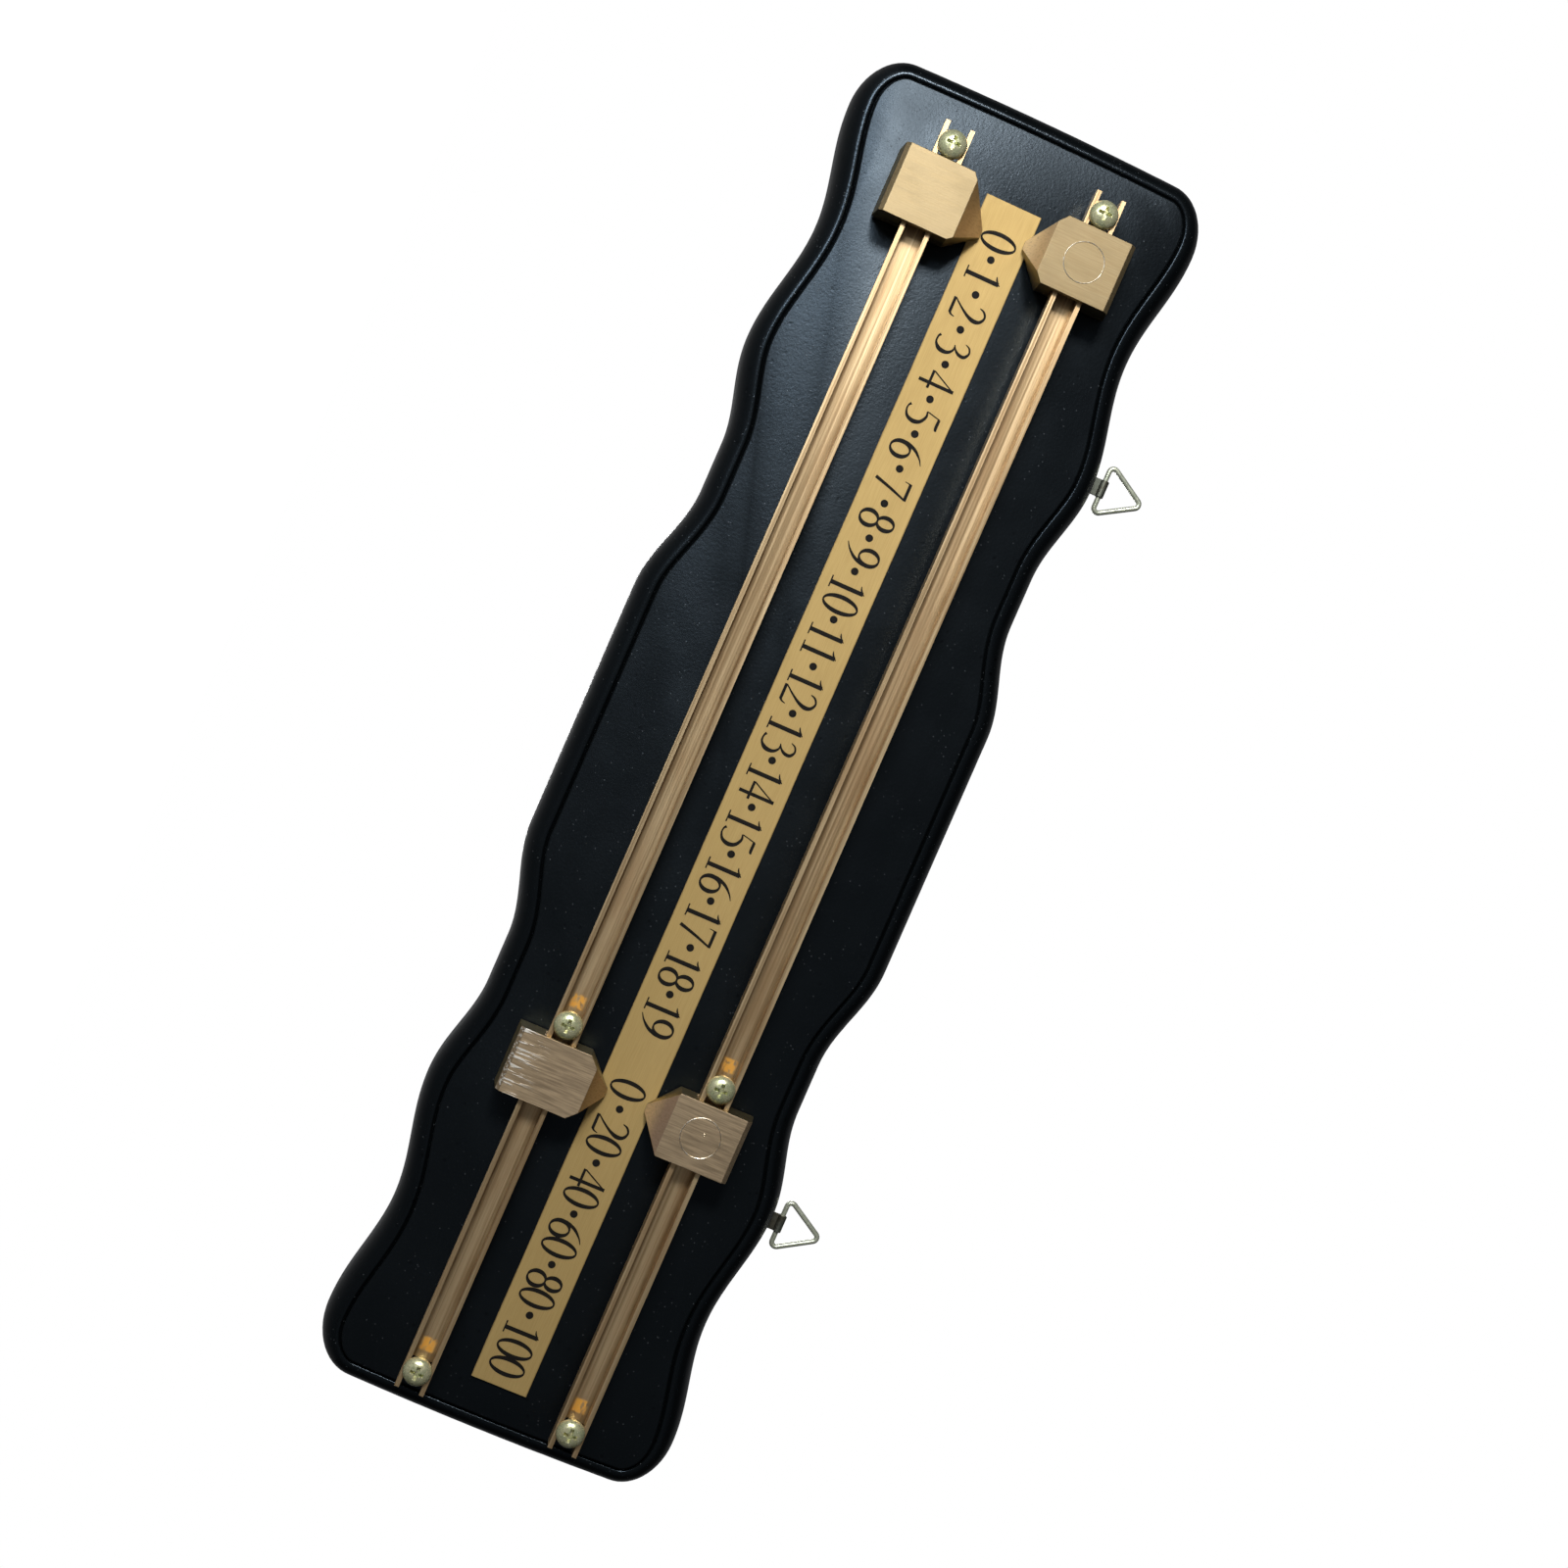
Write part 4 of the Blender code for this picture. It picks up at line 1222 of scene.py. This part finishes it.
def build_floor():
    """A pale plane under the object; the camera sees it as bright as the white around it."""
    bm = bmesh.new()
    bmesh.ops.create_grid(bm, x_segments=1, y_segments=1, size=FLOOR_REACH)
    mesh = bpy.data.meshes.new("floor")
    bm.to_mesh(mesh)
    bm.free()
    floor = add_object("floor", mesh)
    floor.location.z = BOARD_LOW.z - FLOOR_DROP
    material = bpy.data.materials.new("pale_floor")
    material.use_nodes = True
    shader = material.node_tree.nodes["Principled BSDF"]
    shader.inputs["Base Color"].default_value = FLOOR_GREY
    shader.inputs["Roughness"].default_value = 0.9
    path = material.node_tree.nodes.new("ShaderNodeLightPath")
    material.node_tree.links.new(path.outputs["Is Camera Ray"], shader.inputs["Emission Strength"])
    mesh.materials.append(material)


# --- Pieces ---

RAIL_SCREW = {"height": 0.0027, "shank": 0.0018, "slot": "screw_plating"}
HANGER_SCREW = {"height": 0.0014, "shank": 0.0013, "slot": "hanger_nickel"}
# Pointer tops as (dull tone, bright tone), then facets as (root colour, tip colour).
LIGHT_TOP = (0.35, 0.265, 0.145), (0.49, 0.385, 0.225)
DULL_TOP = (0.29, 0.215, 0.115), (0.41, 0.320, 0.185)
WORN_TOP = (0.42, 0.315, 0.200), (0.62, 0.480, 0.315)
HONEY_FACET = (0.74, 0.53, 0.29), (1.0, 0.80, 0.50)
BROWN_FACET = (0.44, 0.28, 0.12), (0.56, 0.37, 0.17)
ROUGH_FACET = (0.50, 0.35, 0.24), (0.86, 0.62, 0.34)


def build_board():
    build_plaque(paint_material())
    build_plate(plate_material())
    ink = ink_material()
    build_numerals(ink)
    build_dots(ink)


def build_rails():
    zinc = screw_material()
    for rail in ("upper_rail", "lower_rail"):
        build_rail(rail, rail_material(rail))
        for place in ("left", "mid", "right"):
            build_screw(f"{rail}_screw_{place}", TO_FRONT, zinc, **RAIL_SCREW)


def build_pointers():
    """Each block has its own top; the two lower ones share a facet."""
    side = sawn_material()
    burnished = burnished_material()
    honey = facet_material("honey_facet", *HONEY_FACET, grit=0.0)
    brown = facet_material("brown_facet", *BROWN_FACET, grit=0.0)
    rough = facet_material("rough_facet", *ROUGH_FACET, grit=0.7)
    dull = pointer_material("dull_brass", *DULL_TOP)
    light = pointer_material("brushed_brass", *LIGHT_TOP)
    worn = pointer_material("worn_brass", *WORN_TOP)
    scored = pointer_material("scored_brass", *WORN_TOP, scored=True)
    for name, top, facet in (
        ("upper_units", dull, honey),
        ("lower_units", light, brown),
        ("upper_twenties", worn, rough),
        ("lower_twenties", scored, brown),
    ):
        build_pointer(name, top, facet, side)
        build_stud(name, burnished)


def build_hangers():
    nickel = nickel_material()
    shaded_steel = strap_material()
    for side in ("left", "right"):
        build_ring(side, nickel)
        build_strap(side, shaded_steel)
        build_screw(f"{side}_hanger_screw", TO_BACK, nickel, **HANGER_SCREW)


def main():
    build_board()
    build_rails()
    build_pointers()
    build_hangers()
    build_camera()
    build_world()
    for light in LIGHTS:
        add_area(*light)
    build_floor()


main()
